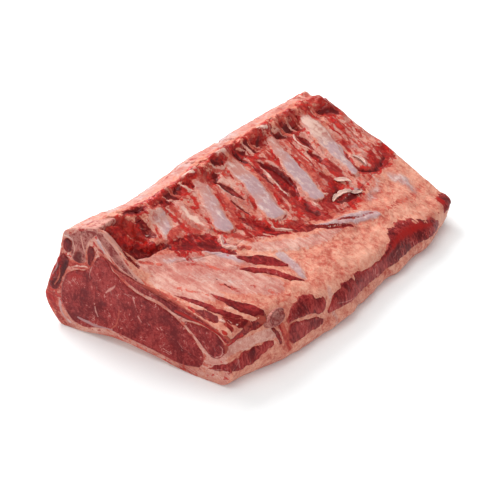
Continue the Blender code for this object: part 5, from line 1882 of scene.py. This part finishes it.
@dataclass
class RibEnd:
    """The sawn end of the last rib, an oval standing in the flank."""

    shape: LoinShape
    grain: Grain
    centre: tuple[float, float, float] = (102.5, -129.0, 51.0)
    long_half: float = 15.0
    short_half: float = 6.6
    depth: float = 16.0

    def build(self) -> Grid:
        """Shapes the oval with a raised pale rim, and the bone behind it."""
        around = np.linspace(0.0, 2.0 * math.pi, 73)[:, None]
        axis_out = np.array([0.86, 0.12, 0.50])
        axis_out /= np.linalg.norm(axis_out)
        axis_long = np.array([-0.10, 0.97, -0.06])
        axis_long -= axis_out * (axis_long @ axis_out)
        axis_long /= np.linalg.norm(axis_long)
        axis_short = np.cross(axis_out, axis_long)
        oval = np.cos(around) * axis_long * self.long_half + np.sin(around) * axis_short * self.short_half
        face = np.linspace(0.03, 1.0, 14)
        dome = 0.3 + 0.2 * soft_step(face, 0.6, 0.85) - 1.1 * soft_step(face, 0.88, 1.0)
        sizes = np.concatenate([face, [1.02, 1.0, 0.85]])
        outs = np.concatenate([dome, [-2.0, -0.5 * self.depth, -self.depth]])
        centre = np.array(self.centre)
        points = np.array([centre + oval * size + axis_out * out for size, out in zip(sizes, outs)])
        points = points + axis_out * (0.25 * self.grain.layers(points, 4.0, 2))[..., None]
        tissues = no_tissues(points.shape[:2])
        ring = np.concatenate([face, np.ones(3)])[:, None] * np.ones(len(around))
        tissues["rim"] = 0.5 * soft_step(ring, 0.86, 0.98)
        tissues["dark"] = 0.5 * (1.0 - soft_step(ring, 0.3, 0.8)) + 0.6 * band(ring, 0.62, 0.8, 0.8, 0.92)
        tissues["blood"] = 0.40 * soft_step(points[..., 1], self.centre[1], self.centre[1] - 12.0)
        return Grid("last_rib_end", points, tissues, Closing.TUBE)


# ------------------------------------------------------------------ looks


Colour = tuple[float, float, float]


def tone(red: int, green: int, blue: int) -> Colour:
    """Linear colour from its 0 to 255 display values, a little darker to suit the lights."""
    shares = (red / 255.0, green / 255.0, blue / 255.0)
    return tuple(0.9 * (c / 12.92 if c <= 0.04045 else ((c + 0.055) / 1.055) ** 2.4) for c in shares)


class Wire:
    """A shader socket that adds Math nodes when it is used in an expression."""

    def __init__(self, look: "Look", socket: bpy.types.NodeSocket) -> None:
        """Wraps a socket of a look's node tree."""
        self.look = look
        self.socket = socket

    def _maths(self, operation: str, first: object, second: object) -> "Wire":
        """Adds one Math node."""
        node = self.look.node("ShaderNodeMath", {"operation": operation}, {0: first, 1: second})
        return Wire(self.look, node.outputs[0])

    def __add__(self, other: "Wire | float") -> "Wire":
        """Sum."""
        return self._maths("ADD", self, other)

    __radd__ = __add__

    def __sub__(self, other: "Wire | float") -> "Wire":
        """Difference."""
        return self._maths("SUBTRACT", self, other)

    def __rsub__(self, other: float) -> "Wire":
        """Difference from a number."""
        return self._maths("SUBTRACT", other, self)

    def __mul__(self, other: "Wire | float") -> "Wire":
        """Product."""
        return self._maths("MULTIPLY", self, other)

    __rmul__ = __mul__

    def larger(self, other: "Wire | float") -> "Wire":
        """The larger of two values."""
        return self._maths("MAXIMUM", self, other)

    def ramp(self, low: float, high: float, start: float = 0.0, end: float = 1.0) -> "Wire":
        """Smooth rise from start at low to end at high."""
        node = self.look.node(
            "ShaderNodeMapRange", {"interpolation_type": "SMOOTHSTEP"},
            {"Value": self, "From Min": low, "From Max": high, "To Min": start, "To Max": end},
        )
        return Wire(self.look, node.outputs[0])


@dataclass(frozen=True)
class Flow:
    """Stretch and turn of a pattern, so that it runs like fibres."""

    stretch: tuple[float, float, float] = (1.0, 1.0, 1.0)
    turn: tuple[float, float, float] = (0.0, 0.0, 0.0)


class Look:
    """A procedural material under construction."""

    def __init__(self, name: str) -> None:
        """Starts an empty material with its shader and output."""
        self.material = bpy.data.materials.new(name)
        self.material.use_nodes = True
        self.tree = self.material.node_tree
        self.tree.nodes.clear()
        self.shader = self.node("ShaderNodeBsdfPrincipled", {}, {})
        self.node("ShaderNodeOutputMaterial", {}, {"Surface": self.shader.outputs[0]})
        self.place = self.node("ShaderNodeTexCoord", {}, {}).outputs["Object"]

    def _feed(self, socket: bpy.types.NodeSocket, value: object) -> None:
        """Links a wire or a socket to a socket, or sets its value."""
        if isinstance(value, Wire):
            value = value.socket
        if isinstance(value, bpy.types.NodeSocket):
            self.tree.links.new(value, socket)
        elif isinstance(value, tuple) and len(value) == 3 and socket.type == "RGBA":
            socket.default_value = (*value, 1.0)
        else:
            socket.default_value = value

    def node(
        self, kind: str, settings: Mapping[str, object], inputs: Mapping[object, object],
    ) -> bpy.types.Node:
        """Adds any node.

        Args:
            kind: Node type.
            settings: Properties, set before the sockets.
            inputs: Values or links of the sockets, by name or number.

        Returns:
            The node.
        """
        made = self.tree.nodes.new(kind)
        for key, value in settings.items():
            setattr(made, key, value)
        for key, value in inputs.items():
            self._feed(made.inputs[key], value)
        return made

    def vector(self, flow: Flow | None) -> bpy.types.NodeSocket:
        """Object place, turned and stretched along a flow."""
        if flow is None:
            return self.place
        inputs = {"Vector": self.place, "Rotation": flow.turn, "Scale": flow.stretch}
        return self.node("ShaderNodeMapping", {}, inputs).outputs[0]

    def noise(
        self, size_mm: float, detail: float = 3.0, rough: float = 0.55,
        flow: Flow | None = None, warp: float = 0.0,
    ) -> Wire:
        """Noise whose blotches are about size_mm across, centred on 0.

        Args:
            size_mm: Width of the blotches.
            detail: Number of finer layers.
            rough: Strength of each finer layer.
            flow: Stretch and turn, or none.
            warp: How far the noise is bent.

        Returns:
            The noise.
        """
        inputs = {"Vector": self.vector(flow), "Scale": 1000.0 / size_mm / 2.0}
        inputs |= {"Detail": detail, "Roughness": rough, "Distortion": warp}
        return Wire(self, self.node("ShaderNodeTexNoise", {}, inputs).outputs[0]) - 0.5

    def cells(self, size_mm: float, flow: Flow | None = None) -> Wire:
        """Distance inside cells about size_mm across."""
        inputs = {"Vector": self.vector(flow), "Scale": 1000.0 / size_mm}
        return Wire(self, self.node("ShaderNodeTexVoronoi", {}, inputs).outputs["Distance"])

    def lines(self, size_mm: float, half_mm: float, flow: Flow | None = None, warp: float = 0.8) -> Wire:
        """Thin wandering lines, 1 on a line and 0 off it."""
        made = self.noise(size_mm, 2.0, 0.5, flow, warp)
        return (made * made).ramp(0.0, (0.3 * half_mm / size_mm) ** 2, 1.0, 0.0)

    def amount(self, tissue: str) -> Wire:
        """Tissue amount painted on the mesh."""
        return Wire(self, self.node("ShaderNodeAttribute", {"attribute_name": tissue}, {}).outputs["Fac"])

    def blend(self, factor: "Wire | float", under: object, over: object) -> bpy.types.NodeSocket:
        """Mixes two colours."""
        made = self.node("ShaderNodeMix", {"data_type": "RGBA"}, {0: factor, 6: under, 7: over})
        return made.outputs[2]

    def stain(
        self, under: object, tissue: str, torn: Wire, ramp: tuple[float, float], share: float, over: object,
    ) -> bpy.types.NodeSocket:
        """Lays a colour where a tissue is painted, with a torn edge.

        Args:
            under: Colour below.
            tissue: Name of the painted tissue.
            torn: Noise that breaks its edge.
            ramp: Amounts where it starts and is full.
            share: Strength where it is full.
            over: Colour laid on.

        Returns:
            The mixed colour.
        """
        mask = (self.amount(tissue) + torn).ramp(*ramp)
        return self.blend(mask * share if share < 1.0 else mask, under, over)

    def bump(self, heights: Sequence[tuple["Wire", float, float]]) -> None:
        """Chains height patterns into the shader's normal, each with its strength and depth in mm."""
        last = None
        for height, strength, depth in heights:
            inputs = {"Height": height, "Strength": strength, "Distance": depth * MM}
            if last is not None:
                inputs["Normal"] = last
            last = self.node("ShaderNodeBump", {}, inputs).outputs[0]
        self.tree.links.new(last, self.shader.inputs["Normal"])

    def finish(
        self, colour: object, rough: "Wire | float", coat: "Wire | float", coat_rough: float, soft: float,
    ) -> bpy.types.Material:
        """Joins colour, gloss and softness to the shader.

        Args:
            colour: Base colour.
            rough: Roughness.
            coat: Weight of the wet film.
            coat_rough: Roughness of the wet film.
            soft: Share of light that passes below the surface.

        Returns:
            The material.
        """
        values = {
            "Base Color": colour, "Roughness": rough, "Coat Weight": coat, "Coat Roughness": coat_rough,
            "Coat IOR": 1.38, "Specular IOR Level": 0.10, "Subsurface Weight": soft,
            "Subsurface Radius": (1.0, 0.35, 0.25), "Subsurface Scale": 0.0015,
        }
        for key, value in values.items():
            self._feed(self.shader.inputs[key], value)
        return self.material


FINGER_FLOW = Flow((0.16, 1.0, 1.0), (0.0, 0.0, math.radians(15.0)))


@dataclass(frozen=True)
class RawSurface:
    """Fat, membranes, stains and lean as they lie on the outside of the loin."""

    name: str = "raw_surface"
    fat: Colour = tone(216, 132, 109)
    fat_deep: Colour = tone(186, 82, 68)
    fat_light: Colour = tone(238, 178, 154)
    cream: Colour = tone(204, 129, 116)
    cream_light: Colour = tone(230, 184, 168)
    cream_deep: Colour = tone(180, 94, 84)
    silver: Colour = tone(194, 138, 128)
    silver_blue: Colour = tone(184, 154, 160)
    silver_light: Colour = tone(226, 202, 196)
    edge: Colour = tone(168, 38, 32)
    edge_light: Colour = tone(208, 92, 74)
    lean: Colour = tone(118, 14, 16)
    lean_light: Colour = tone(156, 34, 32)
    blood: Colour = tone(146, 10, 12)
    blood_light: Colour = tone(204, 36, 28)
    dark: Colour = tone(94, 6, 9)
    pale: Colour = tone(230, 190, 174)
    bone: Colour = tone(206, 140, 126)
    bone_stain: Colour = tone(176, 84, 76)

    def build(self) -> bpy.types.Material:
        """Makes the material."""
        look = Look(self.name)
        lump, patch = look.noise(16.0, 3.0), look.noise(4.6, 4.0, 0.62, None, 0.6)
        fine, fleck = look.noise(1.8, 3.0, 0.6), look.noise(0.8, 2.0)
        fibre = look.noise(2.6, 4.0, 0.65, FINGER_FLOW, 0.4)
        torn = patch * 1.2 + fine * 0.9 + fibre * 0.7
        veins = look.lines(11.0, 0.7, None, 1.2) * patch.ramp(-0.06, 0.08)
        strands = look.lines(4.5, 0.6, FINGER_FLOW, 0.6) * fine.ramp(-0.12, 0.06)

        def cover(tissue: str, pull: float, width: float) -> Wire:
            """Mask of a tissue with a torn edge."""
            return (look.amount(tissue) + torn * pull).ramp(0.5 - width, 0.5 + width)

        full = (lump * 1.4 + fine * 0.8 + patch * 0.8 + 0.62).ramp(0.15, 0.85)
        colour = look.blend(full, self.fat_deep, self.fat)
        lit = (patch * 1.3 + lump * 0.8 + fleck * 0.7 + fine * 0.8 + 0.36).ramp(0.0, 0.9)
        colour = look.blend(lit, colour, self.fat_light)
        vein = (look.noise(9.0, 5.0, 0.65, None, 1.6) + fine * 0.4).ramp(0.17, 0.26) * 0.4
        colour = look.blend(vein.larger(veins * 0.6), colour, self.edge_light)
        cream = cover("cream", 0.8, 0.14)
        creamy = look.blend((lump * 1.4 + patch * 1.1 + 0.6).ramp(0.15, 0.75), self.cream_deep, self.cream)
        lit = (fibre * 1.5 + lump * 0.8 + fleck * 0.6 + fine * 0.5 + 0.4).ramp(0.1, 0.9)
        creamy = look.blend(lit, creamy, self.cream_light)
        colour = look.blend(cream, colour, creamy)
        bone = cover("bone", 0.6, 0.2)
        bony = look.blend((patch * 1.8 + fine + 0.45).ramp(0.25, 0.8), self.bone_stain, self.bone)
        colour = look.blend(bone * 0.85, colour, bony)
        edge = cover("edge", 1.1, 0.12)
        stained = look.blend((fibre * 2.4 + fine * 1.6 + 0.42).ramp(0.25, 0.8), self.edge, self.edge_light)
        colour = look.blend(edge * 0.88, colour, stained)
        silver = cover("silver", 0.7, 0.30)
        bluish = (look.amount("silver") + lump * 0.8 + patch * 0.4).ramp(0.62, 0.98)
        silvery = look.blend(bluish, self.silver, self.silver_blue)
        lit = (fibre * 1.8 + patch * 1.4 + fleck * 0.5 + 0.35).ramp(0.25, 0.9)
        silvery = look.blend(lit, silvery, self.silver_light)
        colour = look.blend(silver * 0.82, colour, silvery)
        lean = cover("lean", 0.7, 0.10)
        red = look.blend((fibre * 2.0 + fine * 1.2 + 0.35).ramp(0.15, 0.85), self.lean, self.lean_light)
        red = look.blend(strands * 0.45, red, self.edge_light)
        colour = look.blend(lean, colour, red)
        blood = cover("blood", 1.1, 0.12)
        lit = (patch * 2.2 + lump * 1.2 + fine * 1.4 + 0.40).ramp(0.2, 0.9)
        wet = look.blend(lit, self.blood, self.blood_light)
        wet = look.blend(strands * 0.4, wet, self.edge_light)
        colour = look.blend(blood * 0.94, colour, wet)
        dark = cover("dark", 1.0, 0.14)
        colour = look.blend(dark * 0.9, colour, self.dark)
        pale = cover("pale", 0.6, 0.14)
        colour = look.blend(pale * 0.9, colour, self.pale)
        smear = look.blend(fine.ramp(0.08, 0.3) * 0.25, colour, self.edge)
        gloss = (lean.larger(blood)).larger(silver * 0.7)
        look.bump([(lump, 0.25, 2.0), (patch, 0.5, 1.4), (fibre, 0.35, 0.7), (fine, 0.5, 0.45)])
        return look.finish(smear, 0.46 - gloss * 0.12 + fleck * 0.12, 0.10 + gloss * 0.24, 0.18, 0.08)


@dataclass(frozen=True)
class CutLean:
    """Lean meat, cut across or along its fibres, with its marbling."""

    name: str
    flow: Flow | None = None
    lean: Colour = tone(142, 28, 30)
    lean_light: Colour = tone(178, 66, 62)
    lean_dark: Colour = tone(106, 12, 18)
    fat: Colour = tone(212, 144, 134)
    film: Colour = tone(184, 136, 136)
    edge: Colour = tone(192, 92, 74)
    blood: Colour = tone(168, 26, 22)
    grain_mm: float = 1.7
    marbling: float = 1.0

    def build(self) -> bpy.types.Material:
        """Makes the material."""
        look = Look(self.name)
        lump, patch = look.noise(22.0, 2.0), look.noise(7.0, 4.0, 0.6, self.flow)
        fine, fleck = look.noise(1.5, 3.0, 0.6, self.flow), look.noise(0.8, 2.0)
        bundle = look.cells(self.grain_mm, self.flow)
        colour = look.blend((patch * 1.6 + lump * 0.9 + 0.5).ramp(0.15, 0.85), self.lean_dark, self.lean)
        slanted = Flow((1.0, 1.0, 0.4), (0.0, math.radians(24.0), 0.0))
        streak = look.noise(2.8, 4.0, 0.6, self.flow or slanted, 1.3)
        lighter = (fine * 0.9 + streak * 1.1 + bundle * 0.25 + lump * 0.9 + 0.16).ramp(0.1, 0.75)
        colour = look.blend(lighter, colour, self.lean_light)
        web = look.lines(3.4, 0.5, self.flow, 1.2) * patch.ramp(-0.12, 0.10)
        colour = look.blend(web * 0.7, colour, self.lean_light)
        thread = look.lines(8.0, 0.5, self.flow, 2.0) * (patch + fine * 0.5).ramp(0.05, 0.12)
        thin = (look.noise(2.6, 2.0, 0.5, self.flow, 1.4) + lump * 0.25).ramp(0.16, 0.24)
        colour = look.blend((thread * 0.8 + thin * 0.35) * self.marbling, colour, self.fat)
        torn = patch * 0.4 + fine * 0.5
        colour = look.stain(colour, "dark", torn * 0.8, (0.3, 0.8), 0.75, self.lean_dark)
        colour = look.stain(colour, "blood", torn * 0.8, (0.3, 0.7), 1.0, self.blood)
        colour = look.stain(colour, "edge", torn * 0.5, (0.3, 0.7), 0.8, self.edge)
        colour = look.stain(colour, "silver", torn * 0.7, (0.3, 0.8), 0.9, self.film)
        colour = look.stain(colour, "pale", torn * 1.0, (0.35, 0.85), 0.9, self.fat)
        colour = look.stain(colour, "rim", torn * 0.7, (0.55, 0.95), 0.55, self.edge)
        look.bump([(patch, 0.35, 1.0), (bundle, 0.3, 0.4), (fine, 0.45, 0.4)])
        return look.finish(colour, 0.42 + fleck * 0.14 + patch * 0.2, 0.16, 0.2, 0.06)


@dataclass(frozen=True)
class SawnBone:
    """Sawn bone: a pale rim round a spongy, blood-flecked middle."""

    name: str = "sawn_bone"
    bone: Colour = tone(136, 50, 48)
    bone_light: Colour = tone(192, 124, 114)
    marrow: Colour = tone(102, 22, 24)
    deep: Colour = tone(92, 18, 22)
    pale: Colour = tone(214, 154, 140)
    blood: Colour = tone(160, 30, 28)

    def build(self) -> bpy.types.Material:
        """Makes the material."""
        look = Look(self.name)
        lump, patch, fine = look.noise(12.0, 3.0), look.noise(3.0, 4.0, 0.65), look.noise(0.9, 3.0, 0.6)
        pores = look.cells(1.5)
        lit = (lump * 2.0 + patch * 2.6 + fine * 1.4 + 0.5).ramp(0.15, 0.85)
        colour = look.blend(lit, self.bone, self.bone_light)
        spongy = (patch * 2.2 + fine * 1.2 - pores * 0.5 + 0.5).ramp(0.35, 0.8) * 0.8
        colour = look.blend(spongy, colour, self.marrow)
        colour = look.blend((fine + patch * 0.6).ramp(0.12, 0.24) * 0.7, colour, self.deep)
        torn = patch * 0.6 + fine * 0.4
        colour = look.stain(colour, "blood", torn, (0.4, 0.8), 0.8, self.blood)
        colour = look.stain(colour, "dark", torn * 0.8, (0.3, 0.75), 0.85, self.deep)
        colour = look.stain(colour, "rim", torn * 0.6, (0.35, 0.8), 0.8, self.pale)
        colour = look.stain(colour, "pale", torn * 0.6, (0.3, 0.6), 0.9, self.pale)
        skin = look.blend((patch * 2.0 + fine + lump + 0.5).ramp(0.3, 0.75), self.pale, self.blood)
        colour = look.stain(colour, "cream", torn * 0.6, (0.4, 0.7), 0.85, skin)
        look.bump([(patch, 0.35, 0.9), (pores, 0.3, 0.4), (fine, 0.3, 0.3)])
        return look.finish(colour, 0.5 + fine * 0.1, 0.05, 0.3, 0.06)


# ----------------------------------------------------------------- studio


@dataclass(frozen=True)
class Studio:
    """Pale floor, soft lights and camera."""

    target: tuple[float, float, float] = (-0.0049, -0.0358, 0.046)
    azimuth: float = 36.0
    elevation: float = 33.0
    distance: float = 1.1
    lens: float = 80.0

    def _light(self, name: str, at: tuple[float, float, float], size: float, power: float) -> None:
        """Adds a square soft light aimed at the loin."""
        data = bpy.data.lights.new(name, "AREA")
        data.shape = "SQUARE"
        data.size, data.energy = size, power
        lamp = bpy.data.objects.new(name, data)
        lamp.location = at
        lamp.rotation_euler = (Vector(self.target) - Vector(at)).to_track_quat("-Z", "Y").to_euler()
        bpy.context.scene.collection.objects.link(lamp)

    def build(self) -> None:
        """Sets up the whole studio."""
        scene = bpy.context.scene
        a, e = math.radians(self.azimuth), math.radians(self.elevation)
        back = Vector((math.sin(a) * math.cos(e), -math.cos(a) * math.cos(e), math.sin(e)))
        data = bpy.data.cameras.new("camera")
        data.lens, data.sensor_width = self.lens, 36.0
        data.clip_start, data.clip_end = 0.05, 30.0
        camera = bpy.data.objects.new("camera", data)
        camera.location = Vector(self.target) + back * self.distance
        camera.rotation_euler = back.to_track_quat("Z", "Y").to_euler()
        scene.collection.objects.link(camera)
        scene.camera = camera
        world = bpy.data.worlds.new("studio")
        world.use_nodes = True
        world.node_tree.nodes["Background"].inputs["Color"].default_value = (1.0, 1.0, 1.0, 1.0)
        world.node_tree.nodes["Background"].inputs["Strength"].default_value = 0.44
        scene.world = world
        scene.view_settings.view_transform = "Standard"
        self._light("key_window", (-1.05, 0.25, 1.05), 0.9, 22.0)
        self._light("top_window", (-0.1, -0.1, 1.5), 1.2, 9.5)
        self._light("front_fill", (0.5, -1.5, 0.8), 1.4, 6.9)
        bm = bmesh.new()
        bmesh.ops.create_grid(bm, x_segments=1, y_segments=1, size=6.0)
        mesh = bpy.data.meshes.new("floor")
        bm.to_mesh(mesh)
        bm.free()
        floor = bpy.data.objects.new("floor", mesh)
        scene.collection.objects.link(floor)
        look = Look("floor_paint")
        cloud = look.noise(400.0, 1.0).ramp(-0.3, 0.3)
        colour = look.blend(cloud, (0.915, 0.935, 0.937), (0.935, 0.95, 0.952))
        look.shader.inputs["Emission Color"].default_value = (1.0, 1.0, 1.0, 1.0)
        look.shader.inputs["Emission Strength"].default_value = 0.06
        mesh.materials.append(look.finish(colour, 0.9, 0.0, 0.5, 0.0))


# ------------------------------------------------------------------- main


FRONT_COVER_MARKS = (
    silver_mark(
        ((-102.5, 38), (-100.5, 30), (-99.5, 18), (-94, 10), (-88, 6)), (1.2, 1.6, 1.8, 1.8, 1.2), 1, 1.2,
        rise=0.3,
    ),
    blood_mark(
        ((-106, 54), (-110, 44), (-111, 34), (-108, 22), (-102, 10), (-94, 3)), (2.5, 4.5, 4.5, 4, 3, 2),
        0.8, 2.5,
    ),
    blood_mark(((-117, 35), (-115, 30)), (2,), 0.95, 1.2, rise=0.6),
    cream_mark(((-108, 28), (-105, 16), (-98, 6)), (1.4, 1.6, 1.2), 0.6, 1.6, rise=0.3),
    edge_mark(((-100, 78), (-104, 66), (-109, 54)), (3,), 0.9),
    blood_mark(((-100, 78), (-104, 66), (-109, 54)), (1.4,), 0.85),
    silver_mark(((-90, 108), (-84, 105), (-78, 98)), (3, 3, 2), 0.75),
    pale_mark(((-94, 88), (-94, 98), (-89, 105), (-82, 105)), (0.8,), 0.85, 0.9, rise=0.5),
    pale_mark(((-79, 103), (-78.5, 96), (-82, 88), (-88, 84.5)), (0.8,), 0.85, 0.9, rise=0.5),
    edge_mark(((-90, 76), (-80, 76), (-70, 78), (-60, 82)), (4, 4, 3.5, 2.5), 0.95),
    blood_mark(((-82, 76), (-72, 77)), (2,), 0.8, rise=0.3),
    pale_mark(((-90, 73), (-84, 72.5), (-72, 77), (-64, 79)), (0.6, 0.9, 0.8, 0.6), 0.85, 1, rise=0.3),
    silver_mark(((-52, 117), (-49, 108), (-44, 101)), (3, 3, 2), 0.9),
    blood_mark(((-56, 107), (-50, 102), (-45, 99)), (1.6, 2, 1.6), 0.8, 1.8),
    pale_mark(((-50, 112), (-43, 101), (-36, 93)), (0.6,), 0.7, 0.8, rise=0.3),
    cream_mark(
        ((-36, 87.5), (-26, 80), (-12, 73), (8, 68), (30, 62), (45, 57.5)), (0.9, 1), 0.95, 1, rise=0.3,
    ),
    cream_mark(((46, 52), (56, 43), (64, 33), (69, 26)), (1, 1.2, 1.4, 1.6), 0.95, 1, rise=0.3),
    edge_mark(((-44, 96), (-38, 90), (-28, 82)), (2, 1.6), 0.8, 1.6),
    cream_mark(((64, 20), (72, 21), (84, 33), (92, 40)), (4, 5, 5, 4), 0.95, 3, rise=0.3),
    cream_mark(((20, 3), (50, 5), (74, 8)), (2, 2.6, 3), 0.75, 2.5),
    edge_mark(((-70, 3), (-20, 5), (30, 2), (76, 2)), (1.4, 1.2), 0.6),
)
REAR_COVER_MARKS = (
    silver_mark(((-104, 37), (-100, 20), (-90, 8)), (2, 2, 1.5), 0.9),
    cream_mark(((-50, 76), (-20, 68), (10, 60), (40, 48), (64, 36)), (2, 2.2), 0.9, 1.6),
    bone_mark(((-82, 90), (-62, 96)), (8, 9), 0.95),
    dark_mark(((-78, 90), (-66, 94)), (3,), 0.7, 3, rise=-0.4),
    lean_mark(((-40, 84), (-14, 72), (14, 62), (36, 52)), (3, 3.4, 3, 1.6), 0.95, 1.6, rise=0.3),
    edge_mark(((-112, 34), (-106, 12), (-92, 3)), (3, 2.5, 2), 0.75, 2.5),
)
FLANK_COVER_MARKS = (
    cream_mark(((-188, 39), (-170, 40), (-152, 40), (-139, 39)), (5.5, 5.5, 5.5, 5), 1, 2.5, rise=0.4),
    lean_mark(((-183, 47), (-168, 50), (-156, 52.5), (-144, 52)), (2.5, 3.5, 4, 3.5), 1, 1.6, rise=-0.4),
    blood_mark(((-184, 47), (-178, 47.5), (-168, 49)), (2.4, 2.4, 1.6), 0.95, 1.6),
    dark_mark(((-158, 53), (-148, 53)), (2.4,), 0.65),
    lean_mark(((-137, 43), (-134, 34), (-133, 26)), (2.2, 2.6, 2), 0.9, 1.6, rise=-0.5),
    edge_mark(((-128, 42), (-126, 30), (-124, 16)), (4, 4.6, 3), 0.85, 2.5, rise=-0.3),
    blood_mark(((-129, 44), (-128, 34)), (1.4, 1.2), 0.8, 1.4, rise=-0.3),
    pale_mark(((-131, 40), (-129, 24)), (0.8,), 0.7, 1.2, rise=0.4),
    edge_mark(((-200, 4), (-120, 3), (-40, 3), (60, 4), (200, 5)), (2, 2.2, 2, 2.2, 2), 0.7, 3),
    cream_mark(((-58, 12), (-60, 30), (-57, 44)), (2.4, 3, 3), 0.8, 2.5),
    lean_mark(((196, 36), (206, 34)), (2.5,), 0.9),
)
BACK_COVER_MARKS = (
    edge_mark(((-190, 38), (-60, 36), (80, 38), (195, 37)), (3,), 0.75, 4),
    silver_mark(((-190, 20), (-60, 16), (80, 18), (195, 17)), (4, 6, 4, 5), 0.56, 6),
    edge_mark(((-150, 26), (-110, 22), (-80, 28)), (3, 5, 3), 0.6, 5),
    edge_mark(((0, 22), (50, 28), (90, 24)), (3, 5, 3), 0.6, 5),
    edge_mark(((-190, 80), (-60, 78), (80, 77), (195, 76)), (2,), 0.8, 3),
    cream_mark(((-190, 98), (-60, 96), (60, 95), (190, 92)), (5,), 0.8, 3, rise=0.4),
    edge_mark(((-185, 92), (-60, 90), (60, 89), (190, 86)), (0.8, 0.9), 0.85, 1.2, rise=-0.4),
    silver_mark(((-148, 90), (-128, 92), (-112, 90)), (2, 4, 2), 0.8),
    silver_mark(((-95, 89), (-74, 92), (-52, 90)), (2, 4.5, 2), 0.85),
    silver_mark(((-30, 89), (-6, 92), (18, 90)), (2, 5, 2), 0.9),
    silver_mark(((40, 88), (60, 90), (82, 88)), (2, 4.5, 2), 0.85),
    silver_mark(((110, 86), (128, 88), (148, 86)), (2, 4, 2), 0.8),
    cream_mark(((-190, 6), (0, 4), (195, 5)), (4, 5, 4), 0.7, 4),
)


@dataclass
class Loin:
    """The whole loin, built piece by piece."""

    shape: LoinShape = field(default_factory=LoinShape)
    grain: Grain = field(default_factory=lambda: Grain(20417))

    def add(self, grid: Grid, look: bpy.types.Material, slot: str, *nodes: str) -> None:
        """Makes a piece, dresses it and puts it on the frame.

        Args:
            grid: Points and tissues of the piece.
            look: Material.
            slot: Not used.
            nodes: CAD nodes that the piece stands for.
        """
        obj = grid.mesh()
        obj.data.materials.append(look)
        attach(obj, "root")
        if nodes:
            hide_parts(*nodes)
        stands_for = ", ".join(nodes) or "nothing"
        LOG.info("%s: %d faces, replaces %s", obj.name, len(obj.data.polygons), stands_for)

    def build(self) -> None:
        """Builds every sub-assembly in order."""
        surface = RawSurface().build()
        across = CutLean("lean_cut_across").build()
        dark = CutLean(
            "lean_cut_dark", None, tone(104, 12, 16), tone(140, 32, 32), tone(62, 4, 10), marbling=0.6,
        ).build()
        side = CutLean(
            "lean_cut_flank", Flow((1.0, 1.0, 0.4)), tone(140, 24, 28), tone(186, 70, 64), tone(88, 8, 14),
            marbling=0.6, grain_mm=2.0,
        ).build()
        strip = CutLean(
            "lean_strip", Flow((0.45, 0.45, 1.0)), tone(134, 22, 28), tone(176, 50, 48), tone(96, 10, 16),
            marbling=0.35, grain_mm=1.6,
        ).build()
        bone = SawnBone().build()
        bone_side = BoneSide(self.shape, self.grain)
        cover_marks = (FRONT_COVER_MARKS, REAR_COVER_MARKS, FLANK_COVER_MARKS, BACK_COVER_MARKS)
        cover = FatCover(self.shape, bone_side, *cover_marks)
        self.add(cover.build(), surface, "fat", "fat_cover")
        self.add(FingerLean(self.shape, bone_side).build(), surface, "lean", "finger_lean")
        backbone = Backbone(self.shape, bone_side)
        for vertebra in VERTEBRAE:
            self.add(backbone.build(vertebra), surface, "bone", vertebra.name)
        self.add(backbone.last_bone(), surface, "bone", "vertebra_6")
        faces = CutFaces(self.shape, self.grain)
        for piece in CUT_PIECES:
            look = dark if piece.name in ("multifidus", "ring_muscle", "round_muscle") else across
            self.add(faces.build(piece), look, "lean", piece.name)
        for piece in BONE_FACES:
            self.add(faces.build(piece), bone, "bone", piece.name)
        self.add(RibEnd(self.shape, self.grain).build(), bone, "bone")
        sides = SideMuscles(self.shape, self.grain)
        for piece in SIDE_PIECES:
            nodes = () if piece.side is Side.BACKBONE else (piece.name,)
            self.add(sides.build(piece), side, "lean", *nodes)
        strips = SurfaceStrips(self.shape, bone_side)
        for item in STRIPS:
            self.add(strips.build(item), strip, "lean", item.name)
        flaps = TornMembranes(self.shape, bone_side)
        for flap in FLAPS:
            self.add(flaps.build(flap), surface, "fat")


def main() -> None:
    """Builds the studio and the loin."""
    logging.basicConfig(level=logging.INFO, format="%(name)s: %(message)s")
    Studio().build()
    Loin().build()


if __name__ == "__main__":
    main()
